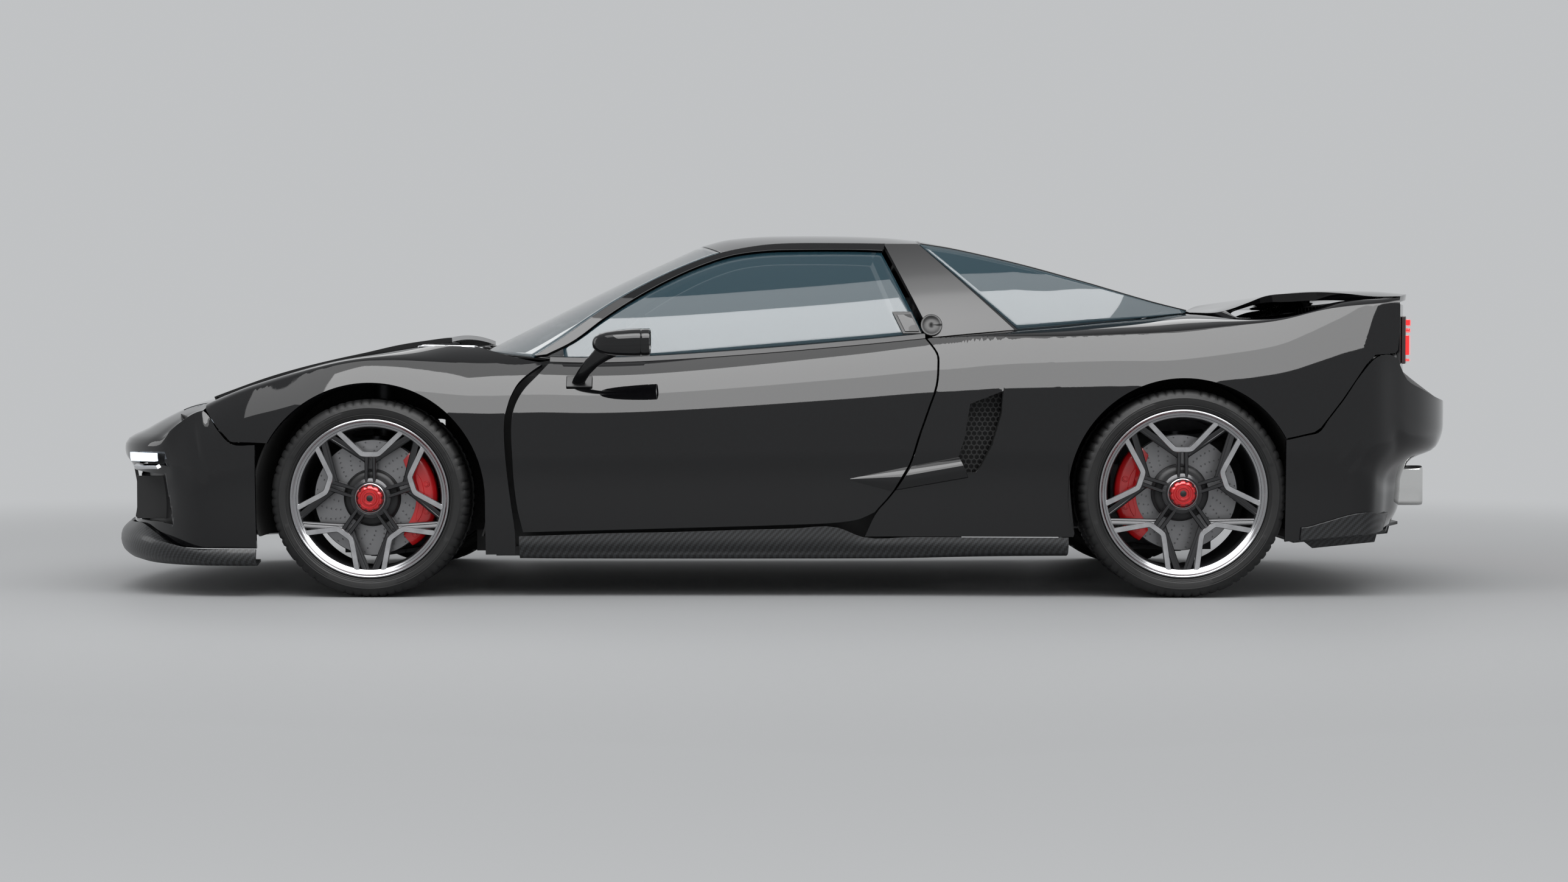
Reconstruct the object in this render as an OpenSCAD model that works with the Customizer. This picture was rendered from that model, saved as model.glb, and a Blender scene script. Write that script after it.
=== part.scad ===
/* [Main sizes] */
// Distance between the axles
wheelbase = 2530; // [2500:10:2580]
// Width over the rear arches
body_width = 1890; // [1870:5:1930]
// Height of the roof
roof_height = 1161; // [1145:2:1185]
/* [Wheels] */
// Outer radius of a front tyre
front_tyre_r = 309; // [303:1:313]
// Width of a front tyre
front_tyre_w = 245; // [225:5:250]
// Outer radius of a rear tyre
rear_tyre_r = 324.5; // [318:0.5:328]
// Width of a rear tyre
rear_tyre_w = 295; // [275:5:300]
// Radius of a front rim at its lip
front_rim_r = 248; // [240:1:252]
// Radius of a rear rim at its lip
rear_rim_r = 262; // [252:1:266]
// Number of forked spokes in a rim
spokes = 5; // [4:1:6]
// Radius of the brake discs
disc_r = 182; // [170:1:186]
// Thickness of the brake discs
disc_t = 30; // [26:1:32]
// Radius of the wheel opening in the body
arch_r = 360; // [356:1:366]
/* [Body panels] */
// Thickness of the fenders and quarters
panel = 12; // [10:1:14]
// Thickness of a whole door
door_t = 75; // [66:1:78]
// Thickness of the hood, hatch and lids
lid_t = 14; // [12:1:16]
// Thickness of the bumper covers
cover_t = 10; // [8:1:12]
// Thickness of the glass
glass_t = 6; // [5:0.5:7]
// Gap between neighbouring panels
shut = 5; // [5:0.5:6]
/* [Hinges] */
// Radius of the hinge pins
pin_r = 7; // [6:0.5:8]
// Running clearance around pins and shafts
fit = 0.3; // [0.2:0.05:0.4]
// Height of the lower door hinge
hinge_low = 330; // [320:5:350]
// Height of the upper door hinge
hinge_high = 600; // [585:5:610]
/* [Cabin] */
// Height of the cabin floor
floor_z = 150; // [140:2:160]
// Width of a seat
seat_w = 500; // [470:5:520]
// Radius of the steering wheel
wheel_rim_r = 178; // [165:1:185]
/* [Hidden] */

// ---------- Grid: the design is drawn at 2530 x 1890 x 1161 and stretched between the axles ----------
dx = wheelbase - 2530;
dy = (body_width - 1890) / 2;
function sx(x) = x + dx * (min(max((x + 700) / 1300, 0), 1) - 0.5);
function sy(y) = y + sign(y) * dy * min(max((abs(y) - 350) / 250, 0), 1);
function sz(z) = z <= 830 ? z : 830 + (z - 830) * (roof_height - 830) / 331;
function place(p) = [sx(p.x), sy(p.y), sz(p.z)];
front_x = sx(-1290);
rear_x = sx(1240);
front_track = sy(905) - front_tyre_w / 2;   // centre plane of a front wheel
rear_track = sy(925) - rear_tyre_w / 2;
king_y = front_track - 62;                   // steering axis

// ---------- Curves and skins ----------
function mix(a, b, t) = a + (b - a) * t;
function clamp01(t) = min(max(t, 0), 1);
function ease(t) = let(u = clamp01(t)) u * u * (3 - 2 * u);
function span(c, x, i = 0) = i >= len(c) - 2 || x < c[i + 1][0] ? i : span(c, x, i + 1);
function tilt(c, i) = let(a = max(i - 1, 0), b = min(i + 1, len(c) - 1)) (c[b][1] - c[a][1]) / (c[b][0] - c[a][0]);
// Smooth curve through the points of c, read at x
function at(c, x) = let(i = span(c, x), h = c[i + 1][0] - c[i][0], t = clamp01((x - c[i][0]) / h))
  c[i][1] * (2 * t * t * t - 3 * t * t + 1) + c[i + 1][1] * (3 * t * t - 2 * t * t * t)
  + tilt(c, i) * h * (t * t * t - 2 * t * t + t) + tilt(c, i + 1) * h * (t * t * t - t * t);
function unit(v) = v / max(norm(v), 1e-9);
function normal(g, i, j) = let(a = max(i - 1, 0), b = min(i + 1, len(g) - 1), c = max(j - 1, 0), d = min(j + 1, len(g[0]) - 1))
  unit(cross(g[b][j] - g[a][j], g[i][d] - g[i][c]));
function sunk(g, t) = [for (i = [0:len(g) - 1]) [for (j = [0:len(g[0]) - 1]) g[i][j] - t * normal(g, i, j)]];
function moved(g, v) = [for (r = g) [for (p = r) p + v]];
// Closed solid between an outer grid a and an inner grid b, a's normals pointing out
module slab(a, b) {
  n = len(a); m = len(a[0]); k = n * m;
  function p(i, j) = i * m + j;
  polyhedron(points = concat([for (r = a) each r], [for (r = b) each r]), convexity = 8, faces = concat(
    [for (i = [0:n - 2]) for (j = [0:m - 2]) each [[p(i, j), p(i + 1, j + 1), p(i + 1, j)], [p(i, j), p(i, j + 1), p(i + 1, j + 1)]]],
    [for (i = [0:n - 2]) for (j = [0:m - 2]) each [[k + p(i, j), k + p(i + 1, j), k + p(i + 1, j + 1)], [k + p(i, j), k + p(i + 1, j + 1), k + p(i, j + 1)]]],
    [for (i = [0:n - 2]) each [[p(i, 0), p(i + 1, 0), k + p(i + 1, 0)], [p(i, 0), k + p(i + 1, 0), k + p(i, 0)],
      [p(i, m - 1), k + p(i + 1, m - 1), p(i + 1, m - 1)], [p(i, m - 1), k + p(i, m - 1), k + p(i + 1, m - 1)]]],
    [for (j = [0:m - 2]) each [[p(0, j), k + p(0, j + 1), p(0, j + 1)], [p(0, j), k + p(0, j), k + p(0, j + 1)],
      [p(n - 1, j), p(n - 1, j + 1), k + p(n - 1, j + 1)], [p(n - 1, j), k + p(n - 1, j + 1), k + p(n - 1, j)]]]));
}
module skin(g, t) slab(g, sunk(g, t));
module both() { children(); mirror([0, 1, 0]) children(); }
module box(a, b) translate([min(a.x, b.x), min(a.y, b.y), min(a.z, b.z)]) cube([abs(a.x - b.x), abs(a.y - b.y), abs(a.z - b.z)]);
module rod_y(x, z, y0, y1, r) translate([x, min(y0, y1), z]) rotate([-90, 0, 0]) cylinder(r = r, h = abs(y1 - y0), $fn = 48);

// ---------- Lines of the body, in the design grid; half widths and heights over x ----------
waist_y = [[-1951, 815], [-1900, 851], [-1812, 889], [-1700, 905], [-1600, 912], [-1450, 924], [-1290, 930], [-1050, 922], [-850, 908], [-500, 903], [0, 903], [400, 908], [650, 925], [900, 940], [1240, 945], [1550, 938], [1800, 915], [1931, 880]];
crest_z = [[-1951, 486], [-1922, 519], [-1887, 546], [-1812, 584], [-1717, 626], [-1620, 659], [-1447, 711], [-1330, 733], [-1208, 737], [-1091, 731], [-959, 725], [-764, 733], [-612, 731], [-437, 736], [-168, 754], [214, 786], [439, 807], [595, 813], [733, 812], [881, 812], [1077, 818], [1219, 825], [1434, 848], [1549, 863], [1706, 900], [1931, 922]];
crest_in = [[-1951, 40], [-1812, 60], [-1600, 75], [-1290, 80], [-1000, 88], [-700, 92], [0, 92], [500, 90], [733, 80], [1000, 78], [1240, 82], [1600, 74], [1931, 40]];
belt_z = [[-790, 735], [-752, 734], [-612, 731], [-437, 736], [-168, 754], [214, 786], [439, 807], [595, 822], [733, 834], [881, 847], [977, 857], [1154, 873], [1300, 890], [1400, 898]];
belt_y = [[-1100, 800], [-790, 816], [-600, 811], [0, 811], [439, 816], [733, 775], [881, 738], [1077, 680], [1300, 604], [1400, 585]];
ridge_z = [[-2191, 469], [-2150, 497], [-2050, 548], [-1950, 592], [-1851, 629], [-1747, 662], [-1643, 694], [-1538, 721], [-1434, 744], [-1330, 765], [-1226, 788], [-1122, 804], [-1059, 811], [-900, 812]];
sill_z = 150;
// Half width of the side at height z, full at the waist, tucked in below and turned in to the crest
function side_y(x, z) = let(s = (z - sill_z) / (at(crest_z, x) - sill_z), t = 26)
  at(waist_y, x) - (s < 0.6 ? t * pow((0.6 - s) / 0.6, 2) : at(crest_in, x) * pow((s - 0.6) / 0.4, 2.2));
// Point on the side at height z, left side of the car
function side(x, z) = place([x, -side_y(x, z), z]);
// Point between the crest (v=0) and an inner point q (v=1)
function over(x, q, v) = let(zc = at(crest_z, x), yc = side_y(x, zc), k = 0.16 * (yc - q.y),
    a = [yc, zc], b = a + [-0.5, 0.87] * min(k, 38), d = [q.y, q.z], c = d + [0.45 * (yc - q.y), -q[3] * 0.45 * (yc - q.y)], w = 1 - v,
    p = a * w * w * w + b * 3 * w * w * v + c * 3 * w * v * v + d * v * v * v) place([mix(x, q.x, v), -p.x, p.y]);
// Half width of the glasshouse at height z
function house_y(x, z) = let(h = z - at(belt_z, x)) at(belt_y, x) - 0.42 * h - 0.00085 * h * max(h, 0);
function house(x, z, in = 0) = place([x, -house_y(x, z) + in, z]);

// ---------- Panels ----------
hood_y = [[-1830, 600], [-1500, 640], [-1290, 664], [-1059, 690]];
crown = [[-1851, 30], [-1700, 22], [-1400, 15], [-1059, 14]];
fender_rear = [[133, -838], [197, -838], [269, -847], [345, -857], [458, -868], [553, -870], [600, -860], [628, -851], [670, -828], [704, -791], [734, -747]];
door_front = [[197, -815], [269, -832], [345, -842], [420, -847], [534, -851], [591, -843], [647, -815], [695, -772], [734, -738]];
door_rear = [[186, 250], [263, 287], [307, 325], [345, 354], [417, 395], [505, 424], [591, 454], [657, 477], [723, 484], [761, 481], [815, 443]];
door_foot = [[-815, 197], [-355, 209], [23, 220], [180, 227], [250, 239], [287, 263]];
quarter_in = [[445, 812], [600, 805], [733, 775], [881, 738], [1077, 680], [1300, 604], [1400, 648], [1500, 722], [1600, 780], [1733, 820], [1931, 832]];
quarter_top = [[445, 809], [600, 821], [733, 834], [881, 847], [977, 857], [1154, 873], [1300, 888], [1450, 874], [1600, 880], [1733, 922], [1931, 934]];

function hood_edge(x) = [x, at(hood_y, x), at(ridge_z, x) - at(crown, x), 2 * at(crown, x) / at(hood_y, x)];
function hood_pt(x, f) = let(e = hood_edge(x)) place([x, f * e.y, at(ridge_z, x) - at(crown, x) * f * f]);
function quarter_edge(x) = [x, at(quarter_in, x), at(quarter_top, x), 0.05];
// Skin point at x and level w: 0 the sill, 1 the crest, 2 the inner edge
function front_pt(x, w) = w <= 1 ? side(x, mix(sill_z, at(crest_z, x), w)) : over(x, hood_edge(x), w - 1);
function rear_pt(x, w) = w <= 1 ? side(x, mix(sill_z, at(crest_z, x), w)) : over(x, quarter_edge(x), w - 1);
function level(x, z) = [x, (z - sill_z) / (at(crest_z, x) - sill_z)];
function path(c, t) = let(n = len(c) - 1, i = min(floor(t * n), n - 1)) mix(c[i], c[i + 1], t * n - i);
// Patch between four edges: a to b over v, bent to meet the end edges c and d, whose pull dies off with power e
function coons(a, b, c, d, a0, a1, b0, b1, u, v, e = 1) = mix(a, b, v)
  + pow(1 - u, e) * (c - mix(a0, b0, v)) + pow(u, e) * (d - mix(a1, b1, v));
function ring(cx, cz, r, deg) = level(cx + r * cos(deg), cz + r * sin(deg));

// Front fender: from the wheel arch out to the hood, the pillar foot and the door gap
fender_n = 22; fender_m = 8;
arch_turn = [[0, 152], [12, 96], [14, 78], [16, 62], [17, 55], [18, 45], [19, 31], [20, 14.6], [20.7, 0]];
function fender_a(u) = let(k = u * fender_n) k <= 20.7 ? ring(-1290, front_tyre_r, arch_r, lookup(k, arch_turn))
  : level(-1290 + arch_r, lookup(k, [[20.7, front_tyre_r], [21, 270], [22, 133]]));
function fender_b(u) = let(k = u * fender_n) k <= 12 ? [mix(-1826, -1070, k / 12), 2] : k <= 14 ? [mix(-1070, -768, (k - 12) / 2), mix(2, 1, (k - 12) / 2)]
  : let(z = lookup(k, [[14, 730], [15, 715], [16, 690], [17, 655], [18, 610], [19, 520], [20, 400], [21, 270], [22, 133]])) level(at(fender_rear, z), z);
function fender_c(v) = path([level(-1607, 481), level(-1721, 484), level(-1768, 530), level(-1812, 584), [-1826, 2]], v);
function fender_d(v) = mix(fender_a(1), fender_b(1), v);
fender_grid = [for (i = [0:fender_n]) let(u = i / fender_n) [for (j = [0:fender_m]) let(v = j / fender_m,
  q = coons(fender_a(u), fender_b(u), fender_c(v), fender_d(v), fender_a(0), fender_a(1), fender_b(0), fender_b(1), u, v, 4)) front_pt(q[0], q[1])]];

// Door: a thick slab from its foot to the belt, with a moulding on top
door_n = 16; door_m = 8;
function door_q(u, v) = let(x0 = mix(-812, 284, u), x1 = mix(-735, 440, u), z = mix(at(door_foot, x0) + shut, at(belt_z, x1), v))
  [mix(at(door_front, z) + shut / 2, at(door_rear, z) - shut, u), z];
moulding = 17;
door_grid = [for (i = [0:door_n]) let(u = i / door_n, t = door_q(u, 1)) concat(
  [for (j = [0:door_m]) let(q = door_q(u, j / door_m)) side(q[0], q[1])], [side(t[0], t[1]) + [0, 10, moulding]])];
function door_top(x) = at(belt_z, x) + moulding;

// Quarter: from the sill and the rear arch up to the glass, the deck and the tail
quarter_n = 26; quarter_m = 8;
function quarter_a(u) = u < 0.34 ? level(mix(252, 905, u / 0.34), 190) : ring(1240, rear_tyre_r - 2.5, arch_r, mix(201.5, 28.6, (u - 0.34) / 0.66));
function quarter_b(u) = let(x = lookup(u, [[0, 448], [0.34, 640], [0.42, 780], [0.5, 885], [0.6, 1040], [0.7, 1250], [0.85, 1560], [1, 1926]])) [x, 1 + ease((x - 448) / 170)];
function quarter_c(v) = let(z = lookup(v, [[0, 190], [0.125, 267], [0.375, 402], [0.5, 470], [0.625, 560], [0.75, 660], [0.875, 739], [1, 806]])) level(at(door_rear, z) + 0.5, z);
function quarter_d(v) = path([level(1556, 497), level(1655, 519), level(1730, 615), level(1805, 722), level(1838, 756), level(1912, 762), level(1922, 840), [1926, 1], [1926, 2]], v);
quarter_grid = [for (i = [0:quarter_n]) let(u = i / quarter_n) [for (j = [0:quarter_m]) let(v = j / quarter_m,
  q = coons(quarter_a(u), quarter_b(u), quarter_c(v), quarter_d(v), quarter_a(0), quarter_a(1), quarter_b(0), quarter_b(1), u, v, 1.6)) rear_pt(q[0], q[1])]];
intake_edge = [[541, 437], [490, 407], [566, 390], [597, 390], [613, 411], [647, 477], [675, 572], [681, 644], [578, 604], [560, 496]];

// ---------- Glasshouse ----------
glass_top = [[-745, 757], [-661, 801], [-563, 877], [-465, 942], [-367, 997], [-270, 1042], [-172, 1075], [-74, 1090], [23, 1094], [219, 1094], [317, 1090]];
rail_top = [[-790, 750], [-703, 808], [-600, 884], [-500, 950], [-400, 1005], [-300, 1051], [-203, 1086], [-80, 1110], [24, 1117], [221, 1116], [330, 1114], [437, 1113]];
wind_z = [[-1013, 771], [-913, 821], [-705, 925], [-496, 1027], [-283, 1125]];
roof_z = [[-283, 1125], [-225, 1142], [-183, 1150], [-79, 1159], [25, 1161], [129, 1161], [233, 1159], [338, 1154], [437, 1143]];
hatch_z = [[437, 1143], [546, 1119], [755, 1070], [963, 1015], [1172, 952], [1300, 916]];
hatch_side = [[429, 1116], [546, 1096], [755, 1047], [963, 990], [1172, 930], [1300, 899]];
// A panel that arches from one side rail to the other: centre line c, side line s, both [x, z] at u
function arched(c, s, v) = let(p = place([s.x, -house_y(s.x, s[1]), s[1]]), q = place([c.x, 0, c[1]]))
  [mix(q.x, p.x, v * v), -p.y * v, mix(q.z, p.z, v * v)];

wind_grid = [for (i = [0:9]) let(u = i / 9, xc = mix(-1013, -286, u), xs = mix(-788, -208, u)) [for (j = [-5:5])
  arched([xc, at(wind_z, xc)], [xs, at(rail_top, xs)], 0.9995 * j / 5)]];
roof_grid = [for (i = [0:8]) let(u = i / 8, xc = mix(-281, 428, u), xs = mix(-202, 428, u)) [for (j = [-5:5])
  arched([xc, at(roof_z, xc)], [xs, at(rail_top, xs)], 0.9995 * j / 5)]];
hatch_grid = [for (i = [0:8]) let(x = mix(438, 1294, i / 8)) [for (j = [-5:5])
  arched([x, at(hatch_z, x)], [x, at(hatch_side, x)], 0.98 * j / 5)]];
rail_grid = [for (i = [0:14]) let(u = i / 14, a = mix(-745, 316, u), b = mix(-788, 326, u)) [for (j = [0:2]) let(v = j / 2)
  house(mix(a, b, v), mix(at(glass_top, a), at(rail_top, b), v))]];
sail_grid = [for (i = [0:4]) let(u = i / 4) [for (j = [0:4]) let(v = j / 4,
  a = mix(466, 728, u), b = mix(320, 430, u)) house(mix(a, b, v), mix(at(belt_z, a) + 1, at(rail_top, b) - 0.5, v))]];
quarter_glass_grid = [for (i = [0:6]) let(u = i / 6, a = mix(738, 1288, u), b = mix(434, 1290, u)) [for (j = [0:3]) let(v = j / 3)
  house(mix(a, b, v), mix(at(belt_z, a) + 3, at(hatch_side, b) - 4, v), 0.5)]];
door_line = [for (c = door_grid) [c[door_m + 1].x, c[door_m + 1].z]];
glass_x = concat([sx(-690)], [for (i = [1:door_n - 1]) door_line[i][0]], [sx(436)]);
door_glass_grid = [for (x = glass_x) let(u = (x - glass_x[0]) / (sx(436) - glass_x[0]), a = mix(-690, 436, u), b = mix(-696, 312, u)) [for (j = [0:3]) let(v = j / 3)
  house(mix(a, b, v), mix(door_top(a), at(glass_top, b) - shut - 1.5, v), 12) + [0, 0, (1 - v) * (lookup(sx(a), door_line) - sz(door_top(a)))]]];

// Room that a panel takes up, to cut out of what carries it
module room(g, t) { skin(g, t + 0.4); slab(sunk(g, -8), g); }
module roof_panel() color("#1a1b1f") skin(roof_grid, lid_t);
module fixed_glass() color("#5f7a86") { skin(wind_grid, glass_t); both() skin(quarter_glass_grid, glass_t); }
module door_glass() skin(door_glass_grid, glass_t);
module door_glass_left() color("#5f7a86") door_glass();
module door_glass_right() color("#5f7a86") mirror([0, 1, 0]) door_glass();

// ---------- Nose and tail ----------
nose_x = [[105, -2150], [190, -2165], [300, -2150], [400, -2166], [425, -2188], [469, -2191]];
nose_top = [[-2191, 469], [-2034, 473], [-1951, 486], [-1922, 519], [-1887, 546], [-1812, 577], [-1768, 523], [-1721, 478], [-1645, 475]];
nose_end = -1645;
function plan(a, n) = [pow(abs(sin(a)), 2 / n), pow(abs(cos(a)), 2 / n)];
// Point of the nose skin: a is 0 at the wheel arch and 90 on the centre line, w 0..1 the face, 1..2 the top
function nose_face(a, z) = let(k = plan(a, 2.5), x = nose_end + (at(nose_x, z) - nose_end) * k[0],
    e = ease((x + 1951) / 139), y0 = 908 * k[1] * (0.965 + 0.035 * clamp01((z - 150) / 200)), y1 = side_y(max(x, -1951), z)) [x, mix(y0, y1, e), z];
function nose_lip(a) = let(k = plan(a, 2.5), x = nose_end + (-2191 - nose_end) * k[0]) lookup(x, nose_top);
function cut_x(y) = lookup(y, [[0, -1851], [300, -1846], [400, -1842], [600, -1831], [830, -1815]]) - shut;
function cut_z(y) = lookup(y, [[0, 629], [300, 622], [600, 609], [830, 584]]) - 2;
nose_angles = [0, 4.8, 8.5, 12.8, 19, 25.5, 30, 37, 45, 54, 64, 76, 90];
function flip(p) = [p.x, -p.y, p.z];
function whole(half) = concat(half, [for (i = [len(half) - 2:-1:0]) [for (p = half[i]) flip(p)]]);
// The nose: its face up to the lip, then its top back to the hood; near the wheel the face takes all rows
nose_grid = whole([for (a = nose_angles) let(z1 = nose_lip(a), z0 = lip_top(a) + 1, f = a < 15 ? 0.62 : 1, p = nose_face(a, z1), x1 = cut_x(p.y))
  concat([for (j = [0:7]) place(nose_face(a, mix(z0, z1, f * j / 7)))], [for (j = [1:4]) let(t = j / 4)
    f < 1 ? place(nose_face(a, mix(z0, z1, mix(f, 1, t)))) : place([mix(p.x, x1, t), p.y, mix(p.z, cut_z(p.y), 1 - pow(1 - t, 1.5))])])]);

tail_x = [[173, 1990], [213, 2015], [260, 2040], [400, 2062], [430, 2120], [460, 2174], [514, 2195], [700, 2195]];
tail_top = [[1556, 491], [1655, 513], [1730, 608], [1805, 714], [1838, 749], [1926, 754], [1935, 700], [1968, 668], [2092, 619], [2195, 598]];
tail_end = 1556;
function tail_face(a, z) = let(k = plan(a, 3), x = tail_end + (at(tail_x, z) - tail_end) * k[0],
    e = ease((1926 - x) / 130), y0 = 935 * k[1] * (0.97 + 0.03 * clamp01((z - 170) / 200)), y1 = side_y(min(x, 1926), z)) [x, mix(y0, y1, e), z];
function tail_lip(a) = let(k = plan(a, 3), x = tail_end + (2195 - tail_end) * k[0]) lookup(x, tail_top);
tail_half = [for (a = [0, 1.4, 3.5, 5.6, 8.1, 12, 16.5, 22, 28, 34, 42, 52, 63, 76, 90]) let(zt = tail_lip(a), z0 = mix(175, 215, clamp01(plan(a, 3)[0])))
  [for (j = [0:8]) flip(place(tail_face(a, mix(z0, zt, j / 8))))]];
tail_grid = whole(tail_half);
// Tail panel behind the lamps
function tail_panel(y, z, out = 0) = place([1926 + 112 * (1 - pow(abs(y) / 840, 2.4)) + out, y, z]);
lamp_y = [for (i = [-8:8]) i * 98.75];
panel_grid = [for (y = concat([-829], lamp_y, [829])) [for (z = [700, 760, 820, 880, 915]) tail_panel(y, z)]];
function lamp_grid(out) = [for (y = lamp_y) [for (z = [728, 780, 830, 878]) tail_panel(y, z, out)]];

deck_z = [[1304, 905], [1401, 903], [1484, 925], [1547, 944], [1693, 965], [1797, 966], [1901, 967], [2005, 963], [2047, 955]];
deck_side = [[1304, 893], [1401, 893], [1484, 915], [1547, 940], [1693, 952], [1797, 952], [1931, 940], [2047, 940]];
deck_y = [[1304, 590], [1401, 631], [1500, 706], [1600, 764], [1733, 804], [1931, 818], [2047, 818]];
// Sections of the rear lid over x: top line, and an under side that is hollow like a C behind the front ramp
wing_top = [1304, 1336, 1366, 1390, 1408, 1430, 1500, 1560, 1640, 1740, 1840, 1942, 2042];
wing_under = [[1310, 888], [1340, 884], [1385, 853], [1500, 850], [1497, 866], [1448, 898], [1492, 914], [1560, 925],
  [1640, 932], [1740, 940], [1840, 944], [1942, 944], [2042, 937]];
function tail_bow(x, v) = 110 * v * v * abs(v) * (x - 1304) / 738;
wing_grid = [for (x = wing_top) [for (j = [-6:6]) let(v = j / 6)
  place([x - tail_bow(x, v), v * at(deck_y, x), mix(at(deck_z, x), at(deck_side, x), pow(v, 4))])]];
under_grid = [for (i = [0:12]) [for (j = [-6:6]) let(v = j / 6, q = wing_under[i])
  place([q.x - tail_bow(q.x, v), v * (at(deck_y, q.x) - 16), q[1] - (at(deck_z, wing_top[i]) - at(deck_side, wing_top[i])) * pow(v, 4)])]];
deck_floor = [for (x = [1468, 1560, 1680, 1800, 1905]) [for (j = [-4:4]) let(v = j / 4)
  place([x, v * (at(deck_y, x) - 3), 864 - 3 * v * v])]];

// ---------- Wheels: drawn in their own frame, z pointing out of the car ----------
module at_wheel(x, y, z) translate([x, -y, z]) rotate([90, 0, 0]) children();
module front_wheel() at_wheel(front_x, front_track, front_tyre_r) children();
module rear_wheel() at_wheel(rear_x, rear_track, rear_tyre_r) children();
bead = 18;
module tyre(r, w, rim) { h = w / 2; rotate_extrude($fn = 96) polygon([[r, h - 34], [r - 3, h - 18], [r - 14, h - 5], [r - 34, h], [rim + 8, h - 6], [rim - 1, h - 15], [rim - bead, h - 15], [rim - bead, h - 34],
    [rim + 4, h - 26], [r - 30, h - 14], [r - 11, h - 36], [r - 11, 36 - h], [r - 30, 14 - h], [rim + 4, 26 - h], [rim - bead, 34 - h], [rim - bead, 15 - h], [rim - 1, 15 - h], [rim + 8, 6 - h], [r - 34, -h], [r - 14, 5 - h], [r - 3, 18 - h], [r, 34 - h]]); }
hub_r = 62; nut_r = 41; fork_r = 127; fork_deg = 29; blade_t = 30;
// One forked spoke: two bars up from the hub, then an arm to each side
module spoke(rim) {
  p = rim - bead - 6;
  for (s = [-1, 1]) {
    polygon([[s * 6, hub_r - 20], [s * 19, hub_r - 20], [s * 17, fork_r + 2], [s * 5, fork_r - 12]]);
    polygon([[s * 2, fork_r + 12], [s * 2, fork_r - 16], [s * 24, fork_r - 12], [p * sin(s * (fork_deg + 4)), p * cos(fork_deg + 4)], [p * sin(s * (fork_deg - 4)), p * cos(fork_deg - 4)], [s * 16, fork_r + 16]]);
  }
  translate([-3, fork_r - 16]) square([6, 28]);
}
module rim(rim, w) {
  h = w / 2;
  rotate_extrude($fn = 96) polygon([[rim - 1, h - 15], [rim, h - 8], [rim - 24, h - 6], [rim - 26, h - 20], [rim - 26, 8 - h], [rim - 1, 8 - h], [rim - 1, 15 - h], [rim - bead, 15 - h], [rim - bead, h - 15]]);
  translate([0, 0, h - 22 - blade_t]) {
    difference() { cylinder(r = hub_r, h = blade_t, $fn = 60); translate([0, 0, -1]) cylinder(r = 33, h = blade_t + 2, $fn = 48); }
    for (k = [0:spokes - 1]) rotate(k * 360 / spokes) linear_extrude(blade_t) difference() { spoke(rim); circle(r = hub_r - 8, $fn = 48); }
  }
}
disc_z = 20;
// Shaft, flange, disc with its hat, spigot and centre nut: all that turns with a wheel inside the rim
module hub(w, shaft) {
  face = w / 2 - 22 - blade_t;
  rotate_extrude($fn = 72) polygon([[0, -shaft], [shaft > 100 ? 14 : 30, -shaft], [shaft > 100 ? 14 : 30, -72], [30, -72], [30, disc_z - 6], [80, disc_z - 6], [89, disc_z], [disc_r, disc_z], [disc_r, disc_z + disc_t],
    [89, disc_z + disc_t], [89, face], [33, face], [33, face + blade_t], [nut_r, face + blade_t], [nut_r - 3, face + blade_t + 16], [0, face + blade_t + 16]]);
}
// Caliper: an arc of channel that straddles the disc with 5 mm to spare
module caliper(deg) rotate(deg - 50) rotate_extrude(angle = 100, $fn = 96)
  polygon([[118, disc_z - 16], [208, disc_z - 16], [208, disc_z + disc_t + 16], [118, disc_z + disc_t + 16], [118, disc_z + disc_t + 5], [disc_r + 5, disc_z + disc_t + 5], [disc_r + 5, disc_z - 5], [118, disc_z - 5]]);
ball = 160;   // height of the ball joints over and under the axle
module upright(deg) {
  difference() {
    union() { translate([0, 0, -82]) cylinder(r = 52, h = 92, $fn = 60); translate([-22, -ball - 15, -82]) cube([44, 2 * ball + 30, 40]);
      rotate(deg) translate([40, -26, -16]) cube([112, 52, disc_z]); }
    translate([0, 0, -83]) cylinder(r = 30 + fit, h = 94, $fn = 60);
    children();
  }
}
module knuckle() front_wheel() { upright(0) for (s = [-1, 1]) translate([0, s * (ball + 3), front_track - king_y - 124]) rotate([-90 * s, 0, 0]) cylinder(r = 9 + fit, h = 30, center = true, $fn = 40); }
module arm(a, b, r, h) linear_extrude(h) polygon([a + [r, r], a + [r, -r], b + [r, -r], b + [-r, -r], b + [-r, r], a + [-r, r]]);
// Double wishbones: leg pairs from a tower on the rail out to x=0 at the ball joints
module wishbones(in, out, leg, r, pin) for (s = [-1, 1]) translate([0, 0, s * (ball + 24)]) {
  for (t = [-1, 1]) linear_extrude(12, center = true) polygon([[t * leg - 12, -in], [t * leg + 12, -in], [t * 6 + 12, -out], [t * 6 - 12, -out]]);
  translate([0, -out, -6]) cylinder(r = 22, h = 12, $fn = 48);
  if (pin > 0) translate([0, -out, s > 0 ? -28 : 4]) cylinder(r = pin, h = 24, $fn = 40);
}
rail_f = sy(390); rail_r = sy(460);
module front_arms() both() translate([front_x, 0, front_tyre_r]) {
  wishbones(rail_f + 10, king_y, 120, 12, 9);
  box([-150, -rail_f, -200], [150, -rail_f - 28, 200]);
  box([-72, -sy(575), -190], [72, -sy(545), -178]);
  translate([0, -sy(560), -178]) cylinder(r = 18, h = 100, $fn = 40);
  translate([0, -sy(560), -80]) cylinder(r = 34, h = 443 - fit, $fn = 40);
}
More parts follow.
